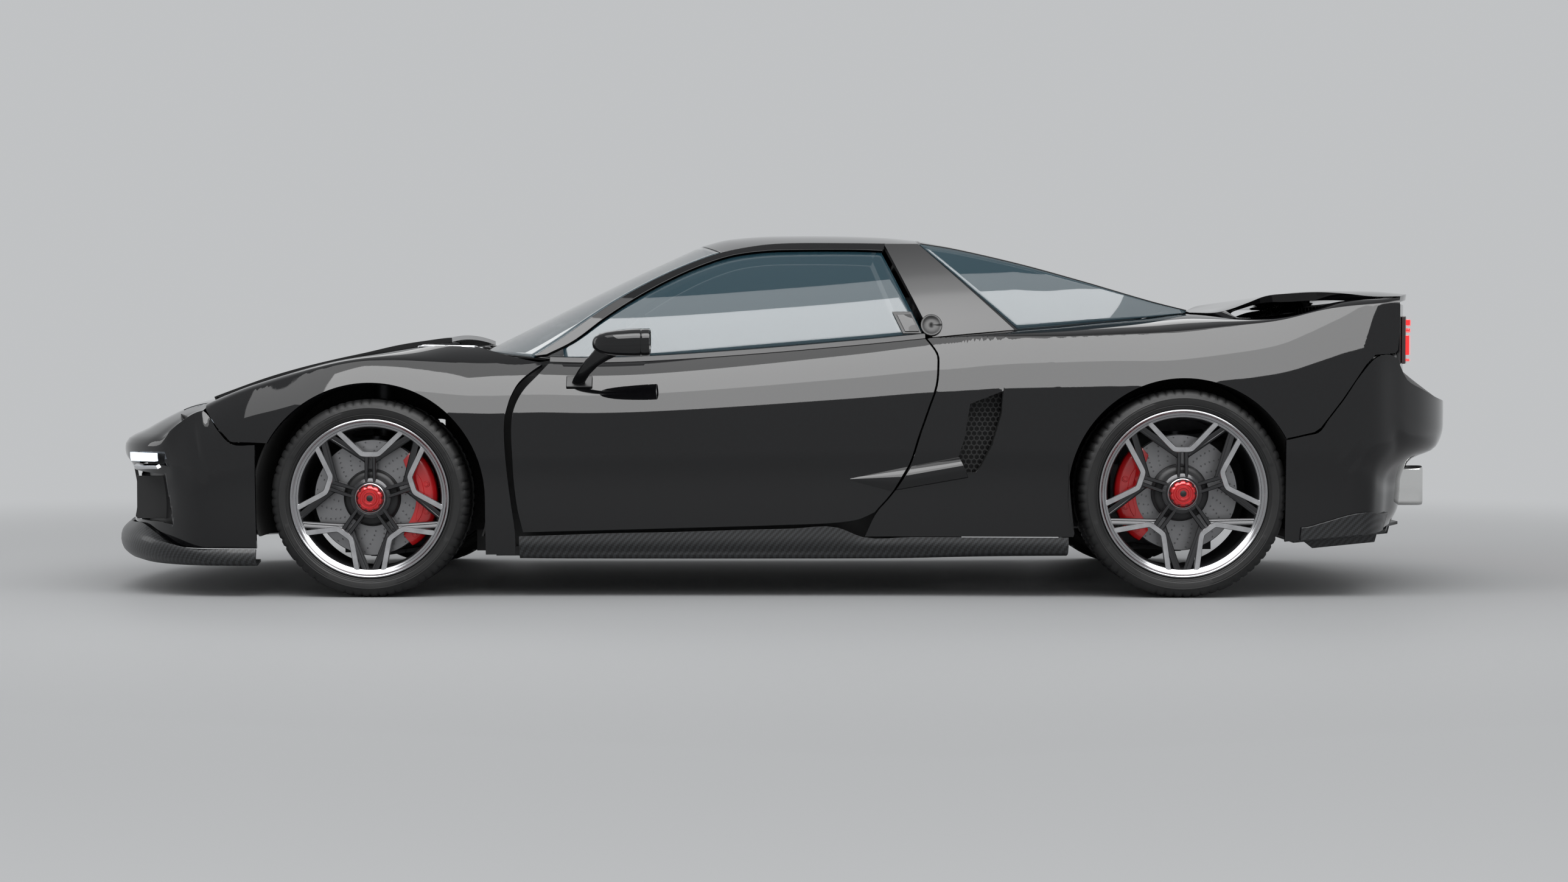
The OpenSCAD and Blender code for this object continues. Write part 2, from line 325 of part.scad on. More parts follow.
module rear_arms() both() {
  translate([rear_x, 0, rear_tyre_r]) {
    difference() { union() { wishbones(rail_r + 10, rear_track - 62, 120, 12, 0); for (s = [-1, 1]) translate([0, -rear_track + 62, s * (ball + 14)]) cylinder(r = 16, h = 12, center = true, $fn = 40);
      box([-150, -rail_r, -200], [150, -rail_r - 28, 240]); }
      rod_y(0, 0, -rail_r - 60, -rail_r + 30, 30); }
  }
  rear_wheel() upright(180);
}
module suspension() color("#3a3d40") { front_arms(); rear_arms(); }
module knuckle_left() color("#4a4d50") knuckle();
module knuckle_right() color("#4a4d50") mirror([0, 1, 0]) knuckle();
module caliper_left() color("#c01018") front_wheel() caliper(0);
module caliper_right() color("#c01018") mirror([0, 1, 0]) front_wheel() caliper(0);
module rear_calipers() color("#c01018") both() rear_wheel() caliper(180);
shaft_len = rear_track - sy(225) - fit;
module hub_front_left() color("#8d9194") front_wheel() hub(front_tyre_w, 78);
module hub_front_right() color("#8d9194") mirror([0, 1, 0]) front_wheel() hub(front_tyre_w, 78);
module hub_rear_left() color("#8d9194") rear_wheel() hub(rear_tyre_w, shaft_len);
module hub_rear_right() color("#8d9194") mirror([0, 1, 0]) rear_wheel() hub(rear_tyre_w, shaft_len);
module rim_front_left() color("#9a9da0") front_wheel() rim(front_rim_r, front_tyre_w);
module rim_front_right() color("#9a9da0") mirror([0, 1, 0]) front_wheel() rim(front_rim_r, front_tyre_w);
module rim_rear_left() color("#9a9da0") rear_wheel() rim(rear_rim_r, rear_tyre_w);
module rim_rear_right() color("#9a9da0") mirror([0, 1, 0]) rear_wheel() rim(rear_rim_r, rear_tyre_w);
module tyre_front_left() color("#1c1c1d") front_wheel() tyre(front_tyre_r, front_tyre_w, front_rim_r);
module tyre_front_right() color("#1c1c1d") mirror([0, 1, 0]) front_wheel() tyre(front_tyre_r, front_tyre_w, front_rim_r);
module tyre_rear_left() color("#1c1c1d") rear_wheel() tyre(rear_tyre_r, rear_tyre_w, rear_rim_r);
module tyre_rear_right() color("#1c1c1d") mirror([0, 1, 0]) rear_wheel() tyre(rear_tyre_r, rear_tyre_w, rear_rim_r);

// ---------- Tub, wheelhouses and engine ----------
tub_y = sy(735); sill_y = sy(780);
a_post = sx(-752); bulk_x = sx(500); wall_z = 690;
liner = arch_r + 5; liner_t = 6;
hinge_x = sx(-790); hinge_y = sy(870);
hood_hinge_x = sx(-1064); hood_hinge_z = 772;
well_y = sy(485); well_x = sx(-912);   // foot well between the front wheelhouses
hatch_x = sx(445); hatch_hinge_z = sz(1143) - 9;
trunk_x = sx(1313); trunk_hinge_z = sz(904) - 10;
module tub() color("#26282b") {
  box([well_x, -tub_y, 120], [bulk_x, tub_y, floor_z]);
  box([sx(-1000), -well_y, 120], [well_x, well_y, floor_z]);
  box([sx(-1000), -well_y, 120], [sx(-975), well_y, wall_z]);
  box([sx(-1000), -sy(690), wall_z - 50], [sx(-900), sy(690), wall_z]);
  box([bulk_x, -tub_y, 120], [bulk_x + 30, tub_y, 800]);
  both() {
    box([sx(-1000), -well_y, 120], [well_x, -well_y + 12, wall_z]);
    box([well_x, -sy(715), 120], [well_x + 12, -well_y + 12, wall_z]);
    box([well_x, -sy(715), 120], [a_post, -sy(690), wall_z]);
    box([sx(-832), -sy(762), 120], [a_post, -sy(690), wall_z]);
    box([sx(-752), -sill_y, 120], [bulk_x + 60, -sy(690), 300]);
    box([bulk_x, -sy(745), 120], [bulk_x + 60, -sy(690), 800]);
    box([sx(-2060), -rail_f, 240], [sx(-1000), -rail_f + 60, 320]);
    box([bulk_x + 30, -rail_r, 400], [sx(2000), -rail_r + 60, 470]);
    box([sx(1950), -rail_r, 470], [sx(1985), -rail_r + 60, 760]);
    box([sx(800), -rail_r + 60, 410], [sx(860), -260, 460]);
    // Door hinges: two ears and a pin each
    for (z = [hinge_low, hinge_high]) {
      translate([hinge_x, -hinge_y, z - 34]) cylinder(r = pin_r, h = 68, $fn = 48);
      for (s = [-1, 1]) difference() {
        translate([hinge_x - 9, -hinge_y - 9, z + s * 28 - 6]) cube([18, hinge_y + 9 - sy(750), 12]);
        translate([hinge_x, -hinge_y, z + s * 28 - 7]) difference() { translate([-10, -10, 0]) cube([20, 10, 14]); cylinder(r = 9, h = 14, $fn = 48); }
      }
    }
    // Hood hinges on the cowl
    box([sx(-1000), -sy(560), wall_z - 40], [hood_hinge_x - 10, -sy(545), wall_z]);
    box([hood_hinge_x - 9, -sy(560), wall_z - 40], [hood_hinge_x + 9, -sy(545), hood_hinge_z]);
    rod_y(hood_hinge_x, hood_hinge_z, -sy(560), -sy(545), 9);
    rod_y(hood_hinge_x, hood_hinge_z, -sy(545), -sy(515), pin_r - 1);
    // Trunk hinges on posts from the rear rails
    box([trunk_x - 8, -rail_r + 35, 470], [trunk_x + 8, -rail_r + 60, trunk_hinge_z - 22]);
    box([trunk_x - 8, -rail_r + 35, trunk_hinge_z - 42], [trunk_x + 8, -323, trunk_hinge_z - 22]);
    box([trunk_x - 7, -331, trunk_hinge_z - 42], [trunk_x + 7, -323, trunk_hinge_z]);
    rod_y(trunk_x, trunk_hinge_z, -331, -323, 7);
    rod_y(trunk_x, trunk_hinge_z, -331, -286, 4);
  }
  box([sx(-2100), -sy(450), 240], [sx(-2060), sy(450), 320]);
  box([sx(2000), -sy(460), 430], [sx(2030), sy(460), 470]);
}
module wheelhouse(x, z, wall, out) {
  r = liner + liner_t;
  translate([x, 0, z]) rotate([90, 0, 0]) {
    translate([0, 0, wall]) linear_extrude(out - wall) difference() { circle(r = r, $fn = 96); circle(r = liner, $fn = 96); translate([-r - 1, -2 * r]) square([2 * r + 2, 2 * r - 120]); }
    translate([0, 0, wall]) linear_extrude(8) difference() { circle(r = liner + 1, $fn = 96); translate([-r - 1, -2 * r]) square([2 * r + 2, 2 * r - 120]); translate([-190, -200]) square([380, 440]); }
  }
}
module wheelhouses() color("#1a1b1c") both() {
  wheelhouse(front_x, front_tyre_r, sy(495), sy(862));
  wheelhouse(rear_x, rear_tyre_r, sy(590), sy(885));
  for (s = [-1, 1]) {
    box([front_x + s * 262 - 20, -rail_f, 262], [front_x + s * 262 + 20, -sy(496), 300]);
    box([rear_x + s * 280 - 20, -rail_r, 410], [rear_x + s * 280 + 20, -sy(591), 450]);
  }
}
module engine() color("#505357") {
  box([sx(575), -sy(260), 180], [sx(1130), sy(260), 640]);
  box([sx(1130), -sy(225), 200], [sx(1520), sy(225), 440]);
}

// ---------- Scoop in front of the side intake: one blade across the door gap ----------
// Raised patch between a lower and an upper line, each [[x, z], [x, z]] from front to rear
blade_h = 18;
function blade_grid(low, high, h0, h1, lift) = [for (i = [0:6]) let(u = i / 6, a = mix(low[0], low[1], u), b = mix(high[0], high[1], u))
  [for (j = [0:5]) let(v = j / 5, q = mix(a, b, v)) side(q.x, q[1]) - [0, lift + mix(h0, h1, u) * sin(180 * v), 0]]];
module blade(low, high, h0, h1) slab(blade_grid(low, high, h0, h1, 1), moved(blade_grid(low, high, h0, h1, 0), [0, 6, 0]));
module door_blade() blade([[206, 366], [336, 331]], [[206, 371], [384, 408]], 1, blade_h);
module quarter_blade() blade([[347, 334], [572, 374]], [[396, 410], [545, 439]], blade_h, blade_h + 4);

// ---------- Hung panels, their hinges and their seats ----------
pocket = 25;   // room around a hinge inside the door
module door() {
  door_blade();
  difference() {
    slab(door_grid, moved(door_grid, [0, door_t, 0]));
    for (z = [hinge_low, hinge_high]) box([hinge_x - 90, -hinge_y - pin_r - 5, z - 40], [hinge_x + pocket, -sy(700), z + 40]);
  }
  for (z = [hinge_low, hinge_high]) difference() {
    union() { translate([hinge_x, -hinge_y, z - 16]) cylinder(r = pin_r + 6, h = 32, $fn = 48); box([hinge_x, -hinge_y - 5, z - 16], [hinge_x + pocket + 12, -hinge_y + 7, z + 16]); }
    translate([hinge_x, -hinge_y, z - 17]) cylinder(r = pin_r + fit, h = 34, $fn = 48);
  }
}
module door_left() color("#101114") door();
module door_right() color("#101114") mirror([0, 1, 0]) door();
// A lug from a panel's inner side to the flat face that carries it
module lug_y(x, z, y_in, w = 30) { c = side(x, z); box([sx(x) - w / 2, c.y + panel * 0.6, sz(z) - 20], [sx(x) + w / 2, -y_in, sz(z) + 20]); }
// Long slot with round ends between two points in plan
module slot(a, b, r) { d = b - a; translate([a.x, a.y]) rotate(atan2(d.y, d.x)) { translate([0, -r]) square([norm(d), 2 * r]); circle(r = r, $fn = 32); translate([norm(d), 0]) circle(r = r, $fn = 32); } }
module front_fenders() color("#101114") both() {
  difference() {
    skin(fender_grid, panel);
    translate([0, 0, 690]) linear_extrude(130) slot([sx(-1145), -sy(700)], [sx(-985), -sy(725)], 16);
  }
  box([front_x - 20, -sy(760), front_tyre_r + liner + liner_t], [front_x + 20, -sy(720), 750]);
}
module rear_quarters() color("#101114") both() {
  difference() {
    union() { skin(quarter_grid, panel); quarter_blade(); }
    translate([0, -sy(700), 0]) rotate([90, 0, 0]) linear_extrude(400) polygon([for (p = intake_edge) [sx(p.x), p.y]]);
  }
  lug_y(524, 420, sy(745), 20);
  box([rear_x - 20, -sy(790), rear_tyre_r + liner + liner_t], [rear_x + 20, -sy(750), 857]);
}
function hood_row(i) = [for (j = [-6:6]) hood_pt(mix(-1847 + 20 * pow(j / 6, 2), -1062 + 6 * pow(j / 6, 2), i / 12), 0.989 * j / 6)];
module hood() color("#101114") {
  g = [for (i = [0:12]) hood_row(i)];
  slab(g, moved(g, [0, 0, -lid_t]));
  both() difference() {
    union() { rod_y(hood_hinge_x, hood_hinge_z, -sy(542), -sy(518), pin_r + 5); box([hood_hinge_x - 60, -sy(542), hood_hinge_z - 5], [hood_hinge_x, -sy(518), hood_hinge_z + 18]); }
    rod_y(hood_hinge_x, hood_hinge_z, -sy(546), -sy(514), pin_r - 1 + fit);
  }
}
module hinge_knuckle(x, z, y0, y1, r, reach) difference() {
  union() { rod_y(x, z, -y0, -y1, r + 4); box([x, -y0, z - 5], [x + reach, -y1, z + 2]); }
  rod_y(x, z, -y0 - 1, -y1 + 1, r + fit);
}
module rear_hatch() color("#33424a") {
  difference() { skin(hatch_grid, lid_t); both() box([hatch_x - 30, -171, hatch_hinge_z - 30], [hatch_x + 12, -109, hatch_hinge_z + 30]); }
  both() hinge_knuckle(hatch_x, hatch_hinge_z, 150, 130, 3, 30);
}
module trunk_lid() color("#101114") {
  difference() {
    slab(wing_grid, under_grid);
    both() box([trunk_x - 30, -338, trunk_hinge_z - 40], [trunk_x + 36, -280, trunk_hinge_z + 30]);
  }
  // Deck under the wing and the riser behind it
  skin(deck_floor, 10);
  box([sx(1893), -sy(700), 858], [sx(1903), sy(700), 938]);
  both() hinge_knuckle(trunk_x, trunk_hinge_z, 320, 290, 4, 46);
}
module roof_frame() color("#1a1b1f") {
  difference() {
    union() {
      both() {
        slab(rail_grid, moved(rail_grid, [0, 40, 0]));
        skin(sail_grid, 25);
        box([sx(-840), -sy(780), wall_z], [sx(-782), -sy(745), 754]);
        box([sx(505), -sy(788), 800], [sx(550), -sy(700), 850]);
      }
      box([sx(385), -sy(608), sz(1075)], [sx(425), sy(608), sz(1095)]);
    }
    room(wind_grid, glass_t);
    room(roof_grid, lid_t);
  }
  // Ears and pins of the hatch hinges, on the rear header
  both() {
    for (y = [122, 158]) {
      box([sx(405), -y - 4, sz(1075)], [hatch_x + 4.5, -y + 4, sz(1095)]);
      box([hatch_x - 4.5, -y - 4, sz(1075)], [hatch_x + 4.5, -y + 4, hatch_hinge_z]);
      rod_y(hatch_x, hatch_hinge_z, -y - 4, -y + 4, 4.5);
    }
    rod_y(hatch_x, hatch_hinge_z, -158, -122, 3);
  }
}
cowl_grid = [for (i = [0:3]) let(u = i / 3) [for (j = [-6:6]) let(f = 0.9 * j / 6, a = hood_pt(-1044 + 6 * f * f, f) - [0, 0, 30],
  s = [mix(-1013, -788, f * f), -sy(house_y(-788, at(rail_top, -788))) * -f, mix(771, at(rail_top, -788), f * f) - 8]) mix(a, [sx(s.x) - 9, s.y, s.z], u)]];
module wipers() color("#17181a") {
  skin(cowl_grid, 5);
  both() box([sx(-990), -sy(340), wall_z], [sx(-960), -sy(300), 760]);
  // One arm and blade parked along the foot of the windshield
  hull() { translate([sx(-1034), -40, 766]) cylinder(r = 10, h = 13, $fn = 12); translate([sx(-945), -560, 780]) sphere(r = 5, $fn = 8); }
}

// ---------- Nose, splitter, skirts and diffuser ----------
lamp_plan = [[-1940, 545], [-1926, 612], [-1858, 664], [-1850, 604]];
lamp_mid = [-1893, 606];
// Upright prism over a headlamp; k shrinks it about its middle
module lamp_prism(k) translate([0, 0, 480]) linear_extrude(160)
  polygon([for (p = lamp_plan) let(q = lamp_mid + k * (p - lamp_mid)) [sx(q.x), -sy(q[1])]]);
module front_bumper() color("#101114") {
  difference() {
    skin(nose_grid, cover_t);
    both() lamp_prism(1);
    // The mouth between its two struts, and the corner intakes
    box([sx(-2300), -sy(400), 235], [sx(-2095), sy(400), 395]);
    both() translate([0, -sy(440), 0]) rotate([90, 0, 0]) linear_extrude(500) polygon([[sx(-2300), 235], [sx(-2300), 396], [sx(-1947), 381], [sx(-1920), 222], [sx(-1960), 228]]);
    both() translate([0, -sy(560), 0]) rotate([90, 0, 0]) linear_extrude(400) polygon([[sx(-2055), 411], [sx(-2055), 449], [sx(-1942), 446], [sx(-1946), 411]]);
  }
  both() box([sx(-2100), -sy(435), 260], [sx(-2115), -sy(405), 318]);
}
lip_angles = [0, 8, 16, 25, 34, 44, 56, 72, 90];
function lip_pt(a, out, z) = let(k = plan(a, 2.5)) [nose_end + (-2180 - out - nose_end) * k[0], (900 + out * 0.6) * k[1], z];
function lip_top(a) = mix(151, 219, ease((a - 22) / 22));
lip_half = [for (a = lip_angles) let(f = ease((a - 5) / 40)) [for (p = [lip_pt(a, -150, 106), lip_pt(a, -8, 106), lip_pt(a, mix(0, 20, f), mix(112, 130, f)), lip_pt(a, mix(0, 24, f), mix(140, 187, f)), lip_pt(a, -8, lip_top(a))]) place(p)]];
module splitter() color("#2c2e31") {
  skin(whole(lip_half), 8);
  both() box([sx(-2060), -rail_f + 40, 110], [sx(-2020), -rail_f, 240]);
}
skirt_foot = [[-826, 190], [-700, 194], [-560, 199], [-355, 203], [-165, 209], [23, 214], [168, 217], [244, 188], [400, 188], [560, 188], [720, 188], [884, 188]];
skirt_grid = [for (q = skirt_foot) let(x = q.x) [place([x, -781, 128]), place([x, -870, 130]), side(x, 142) + [0, 4, 0], side(x, 160) + [0, -5, 0], side(x, q.y)]];
module side_skirts() color("#2c2e31") both() skin(skirt_grid, 5);
module rear_bumper() color("#101114") {
  difference() { skin(tail_grid, cover_t); both() box([sx(1900), -465, 256], [sx(2200), -395, 405]); }
  skin(panel_grid, cover_t);
  both() { box([sx(2030), -260, 445], [sx(2167), -200, 468]); box([sx(1985), -rail_r + 20, 720], [sx(2012), -rail_r + 50, 760]); }
}
function strake_grid(first) = [for (i = [first:first + 8]) [tail_grid[i][0], tail_grid[i][1]]];
module diffuser() color("#2c2e31") {
  for (first = [2, 18]) slab(sunk(strake_grid(first), -9), sunk(strake_grid(first), -0.3));
  intersection() {
    side_profile(-sy(700), sy(700), [[1620, 158], [2030, 198], [2030, 208], [1620, 168]]);
    linear_extrude(300) polygon([for (p = [[1600, -700], [1850, -700], [1930, -630], [1985, -400], [2040, -330], [2040, 330], [1985, 400], [1930, 630], [1850, 700], [1600, 700]]) [sx(p.x), sy(p.y)]]);
  }
  for (y = [-300, 0, 300]) side_profile(y - 4, y + 4, [[1660, 166], [1700, 135], [2005, 165], [2015, 204]]);
  for (y = [-600, 600]) side_profile(y - 4, y + 4, [[1660, 166], [1700, 135], [1900, 155], [1910, 192]]);
  both() box([sx(1640), -rail_r + 5, 165], [sx(1670), -rail_r + 45, 400]);
}
module exhaust() color("#8f9295") {
  box([sx(1700), -470, 240], [sx(1930), 470, 380]);
  both() box([sx(1780), -440, 380], [sx(1810), -410, 400]);
  both() difference() { box([sx(1925), -455, 266], [sx(2085), -405, 396]); box([sx(1940), -449, 272], [sx(2090), -411, 390]); }
}
module tail_lamps() color("#8c0d10") slab(lamp_grid(26), lamp_grid(0.3));
bar_grid = [for (a = [45, 37, 30]) [for (z = [404, 430, 456]) flip(place(nose_face(a, z)))]];
module headlamps() color("#dfe8f2") {
  both() slab(sunk(bar_grid, 10.6), sunk(bar_grid, 26));
  intersection() { slab(sunk(nose_grid, 1), sunk(nose_grid, 14)); both() lamp_prism(0.986); }
}
module grilles() color("#141517") {
  box([sx(-2112), -sy(395), 238], [sx(-2106), sy(395), 392]);
  both() box([sx(-2106), -300, 250], [sx(-2100), -280, 310]);
  both() { box([sx(548), -sy(858), 372], [sx(690), -sy(852), 652]); box([sx(552), -sy(852), 480], [sx(560), -sy(745), 500]); }
}

// ---------- Mirrors ----------
mirror_pad = [for (i = [0:3]) [for (j = [0:1]) side(mix(-640, -560, i / 3), mix(650, 680, j))]];
module door_mirror() {
  slab(moved(mirror_pad, [0, -12, 0]), moved(mirror_pad, [0, -0.9, 0]));
  hull() { translate([sx(-600), -sy(868), 664]) rotate([90, 0, 0]) cylinder(r = 13, h = 10, $fn = 10); translate([sx(-545), -sy(975), 755]) sphere(r = 14, $fn = 10); }
  hull() { translate([sx(-560), -sy(1010), 793]) rotate([0, 90, 0]) scale(1) cylinder(r = 22, h = 20, $fn = 12);
    translate([sx(-425), -sy(990), 793]) rotate([0, 90, 0]) cylinder(r = 42, h = 14, $fn = 16); translate([sx(-425), -sy(1040), 797]) rotate([0, 90, 0]) cylinder(r = 38, h = 14, $fn = 16);
    translate([sx(-520), -sy(975), 770]) sphere(r = 24, $fn = 10); }
}
module mirror_left() color("#101114") door_mirror();
module mirror_right() color("#101114") mirror([0, 1, 0]) door_mirror();

// ---------- Cabin ----------
seat_y = sy(690) - seat_w / 2 - 70;
tunnel_y = seat_y - seat_w / 2 - 10;
module side_profile(y0, y1, pts) translate([0, y1, 0]) rotate([90, 0, 0]) linear_extrude(y1 - y0) polygon([for (p = pts) [sx(p.x), p.y]]);
module seats() color("#232427") both() translate([0, -seat_y, 0]) {
  side_profile(-seat_w / 2, seat_w / 2, [[-260, 200], [-270, 300], [-230, 330], [150, 275], [230, 300], [290, 520], [400, 860], [440, 860], [470, 840], [350, 480], [290, 215], [250, 200]]);
  side_profile(-120, 120, [[395, 860], [420, 980], [450, 990], [468, 975], [450, 860]]);
  for (s = [-1, 1]) side_profile(s * seat_w / 2 - (s > 0 ? 40 : 0), s * seat_w / 2 + (s > 0 ? 0 : 40), [[-200, floor_z], [-200, 205], [200, 205], [200, floor_z]]);
}
module dashboard() color("#1b1c1e") difference() {
  union() {
    side_profile(-sy(690), sy(690), [[-900, 560], [-900, 690], [-800, 735], [-640, 722], [-590, 690], [-600, 600], [-700, 560]]);
    side_profile(-tunnel_y, tunnel_y, [[-720, 561], [-560, 420], [-200, 330], [180, 330], [180, floor_z], [-700, floor_z]]);
  }
  column(12 + fit, 400);
}
steer_x = sx(-400); steer_z = 712; steer_tilt = 22;
module column(r, h) translate([steer_x, -seat_y, steer_z]) rotate([0, -90 - steer_tilt, 0]) cylinder(r = r, h = h, $fn = 40);
module steering_wheel() color("#1b1c1e") {
  column(12, 240);
  translate([steer_x, -seat_y, steer_z]) rotate([0, -90 - steer_tilt, 0]) {
    rotate_extrude($fn = 72) translate([wheel_rim_r, 0]) circle(r = 15, $fn = 24);
    translate([0, 0, -12]) cylinder(r = 52, h = 34, $fn = 48);
    for (a = [90, 270, 180]) rotate(a) translate([0, -16, -6]) cube([wheel_rim_r, 32, 10]);
  }
}

tub();
engine();
suspension();
knuckle_left();
knuckle_right();
caliper_left();
caliper_right();
rear_calipers();
hub_front_left();
hub_front_right();
hub_rear_left();
hub_rear_right();
rim_front_left();
rim_front_right();
rim_rear_left();
rim_rear_right();
tyre_front_left();
tyre_front_right();
tyre_rear_left();
tyre_rear_right();
wheelhouses();
front_fenders();
hood();
door_left();
door_right();
rear_quarters();
fixed_glass();
roof_panel();
rear_hatch();
roof_frame();
door_glass_left();
door_glass_right();
front_bumper();
rear_bumper();
tail_lamps();
trunk_lid();
mirror_left();
mirror_right();
splitter();
side_skirts();
diffuser();
exhaust();
headlamps();
grilles();
seats();
dashboard();
steering_wheel();
wipers();
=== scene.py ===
"""Black mid-engined two-seat coupe, dressed piece by piece over its CAD frame."""
import math

import bmesh
import bpy
import numpy as np
from mathutils import Matrix, Vector
from mathutils.bvhtree import BVHTree


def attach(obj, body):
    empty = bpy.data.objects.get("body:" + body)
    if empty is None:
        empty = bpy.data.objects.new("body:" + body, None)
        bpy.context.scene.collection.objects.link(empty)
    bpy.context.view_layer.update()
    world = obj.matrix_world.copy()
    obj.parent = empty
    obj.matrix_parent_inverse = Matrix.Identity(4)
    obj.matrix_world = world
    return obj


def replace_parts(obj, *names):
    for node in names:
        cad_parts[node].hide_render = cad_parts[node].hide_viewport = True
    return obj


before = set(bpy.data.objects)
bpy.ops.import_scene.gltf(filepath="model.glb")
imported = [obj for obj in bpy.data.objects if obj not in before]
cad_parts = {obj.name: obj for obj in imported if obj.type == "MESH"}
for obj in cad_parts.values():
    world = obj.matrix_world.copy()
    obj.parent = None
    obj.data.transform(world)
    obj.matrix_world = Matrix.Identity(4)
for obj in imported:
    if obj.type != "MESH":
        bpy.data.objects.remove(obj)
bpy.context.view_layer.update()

# ---------- Studio: pale floor, soft lamps and the camera ----------
# The car stands on a plain pale floor under wide soft lamps.
# The camera looks square at its left side from a low tripod.
scene = bpy.context.scene
scene.view_settings.view_transform = "Standard"
BACKDROP = (0.53, 0.54, 0.55)


def new_object(name, data):
    made = bpy.data.objects.new(name, data)
    scene.collection.objects.link(made)
    return made


def look_from(place, pitch, lens):
    data = bpy.data.cameras.new("camera")
    data.lens, data.sensor_width, data.clip_end = lens, 36.0, 200.0
    eye = new_object("camera", data)
    eye.location = place
    eye.rotation_euler = (math.radians(90.0 - pitch), 0.0, 0.0)
    scene.camera = eye


def soft_lamp(name, place, aim, size, power, gloss_only=False):
    data = bpy.data.lights.new(name, "AREA")
    data.shape = "RECTANGLE"
    data.size, data.size_y = size
    data.energy = power
    lamp = new_object(name, data)
    lamp.location = place
    lamp.visible_camera = False
    lamp.visible_diffuse = not gloss_only
    lamp.rotation_euler = (Vector(aim) - Vector(place)).to_track_quat("-Z", "Y").to_euler()


look_from((0.0, -9.7, 0.723), 1.53, 65.0)
soft_lamp("lamp_overhead", (0.0, -2.5, 3.9), (0.0, -0.7, 0.7), (7.5, 2.2), 110.0)
soft_lamp("lamp_sheen", (0.3, -5.1, 5.2), (0.2, -0.9, 0.7), (9.0, 5.2), 760.0, True)
soft_lamp("lamp_behind", (0.0, 3.6, 3.4), (0.0, 0.6, 0.7), (6.5, 1.6), 45.0)
soft_lamp("lamp_nose", (-6.2, 0.4, 2.2), (-1.6, 0.0, 0.5), (1.6, 3.0), 26.0)


def shader(tree, kind, **sockets):
    """Adds a shader node and sets its sockets, whose names have underscores for spaces."""
    made = tree.nodes.new("ShaderNode" + kind)
    for socket, value in sockets.items():
        made.inputs[socket.replace("_", " ")].default_value = value
    return made


def wire(tree, *pairs):
    for start, end in pairs:
        tree.links.new(start, end)


def surface_of(mat):
    return mat.node_tree.nodes["Principled BSDF"]


def material(name, colour, rough, metal=0.0, coat=0.0, coat_rough=0.03, **more):
    mat = bpy.data.materials.new(name)
    mat.use_nodes = True
    values = {"Base_Color": (*colour, 1.0), "Roughness": rough, "Metallic": metal,
              "Coat_Weight": coat, "Coat_Roughness": coat_rough, **more}
    for socket, value in values.items():
        surface_of(mat).inputs[socket.replace("_", " ")].default_value = value
    return mat


def pale_world(fill):
    """The camera and the reflections see the backdrop, and all else gets a white fill."""
    world = bpy.data.worlds.new("studio")
    scene.world = world
    world.use_nodes = True
    tree = world.node_tree
    tree.nodes.clear()
    seen = shader(tree, "Background", Color=(*BACKDROP, 1.0), Strength=1.0)
    light = shader(tree, "Background", Color=(1.0, 1.0, 1.0, 1.0), Strength=fill)
    path = shader(tree, "LightPath").outputs
    rays, more = shader(tree, "Math"), shader(tree, "Math")
    rays.operation = more.operation = "MAXIMUM"
    blend = shader(tree, "MixShader")
    out = shader(tree, "OutputWorld")
    wire(tree, (path["Is Camera Ray"], rays.inputs[0]), (path["Is Glossy Ray"], rays.inputs[1]),
         (rays.outputs[0], more.inputs[0]), (path["Is Transmission Ray"], more.inputs[1]),
         (more.outputs[0], blend.inputs[0]), (light.outputs[0], blend.inputs[1]),
         (seen.outputs[0], blend.inputs[2]), (blend.outputs[0], out.inputs["Surface"]))


def floor_plate(size, shade):
    """A pale floor that keeps the shadow near the car and fades into the backdrop far off."""
    mesh = bpy.data.meshes.new("floor")
    s = size / 2
    mesh.from_pydata([(-s, -s, 0), (s, -s, 0), (s, s, 0), (-s, s, 0)], [], [(0, 1, 2, 3)])
    plate = new_object("floor", mesh)
    mat = material("floor_paint", shade, 0.6, Specular_IOR_Level=0.2)
    tree = mat.node_tree
    far = shader(tree, "Emission", Color=(*BACKDROP, 1.0))
    where = shader(tree, "TexCoord")
    reach = shader(tree, "VectorMath")
    reach.operation = "LENGTH"
    fade = shader(tree, "MapRange", From_Min=2.6, From_Max=7.0)
    fade.interpolation_type = "SMOOTHSTEP"
    blend = shader(tree, "MixShader")
    wire(tree, (where.outputs["Object"], reach.inputs[0]), (reach.outputs["Value"], fade.inputs["Value"]),
         (fade.outputs["Result"], blend.inputs[0]), (surface_of(mat).outputs[0], blend.inputs[1]),
         (far.outputs[0], blend.inputs[2]), (blend.outputs[0], tree.nodes["Material Output"].inputs["Surface"]))
    mesh.materials.append(mat)


pale_world(0.50)
floor_plate(120.0, (0.50, 0.51, 0.52))

# ---------- Front fenders ----------
# Pressed skins in gloss black, from the nose to the door gap, open over the wheel.
# The lines of the whole body are drawn here first, in millimetres, as x and height or half width.
WAIST_Y = [(-1951, 815), (-1900, 851), (-1812, 889), (-1700, 905), (-1600, 912), (-1450, 924), (-1290, 930),
           (-1050, 922), (-850, 908), (-500, 903), (0, 903), (400, 908), (650, 925), (900, 940), (1240, 945),
           (1550, 938), (1800, 915), (1931, 880)]
CREST_Z = [(-1951, 486), (-1922, 519), (-1887, 546), (-1812, 584), (-1717, 626), (-1620, 659), (-1447, 711),
           (-1330, 733), (-1208, 737), (-1091, 731), (-959, 725), (-764, 733), (-612, 731), (-437, 736),
           (-168, 754), (214, 786), (439, 807), (595, 813), (733, 812), (881, 812), (1077, 818), (1219, 825),
           (1434, 848), (1549, 863), (1706, 900), (1931, 922)]
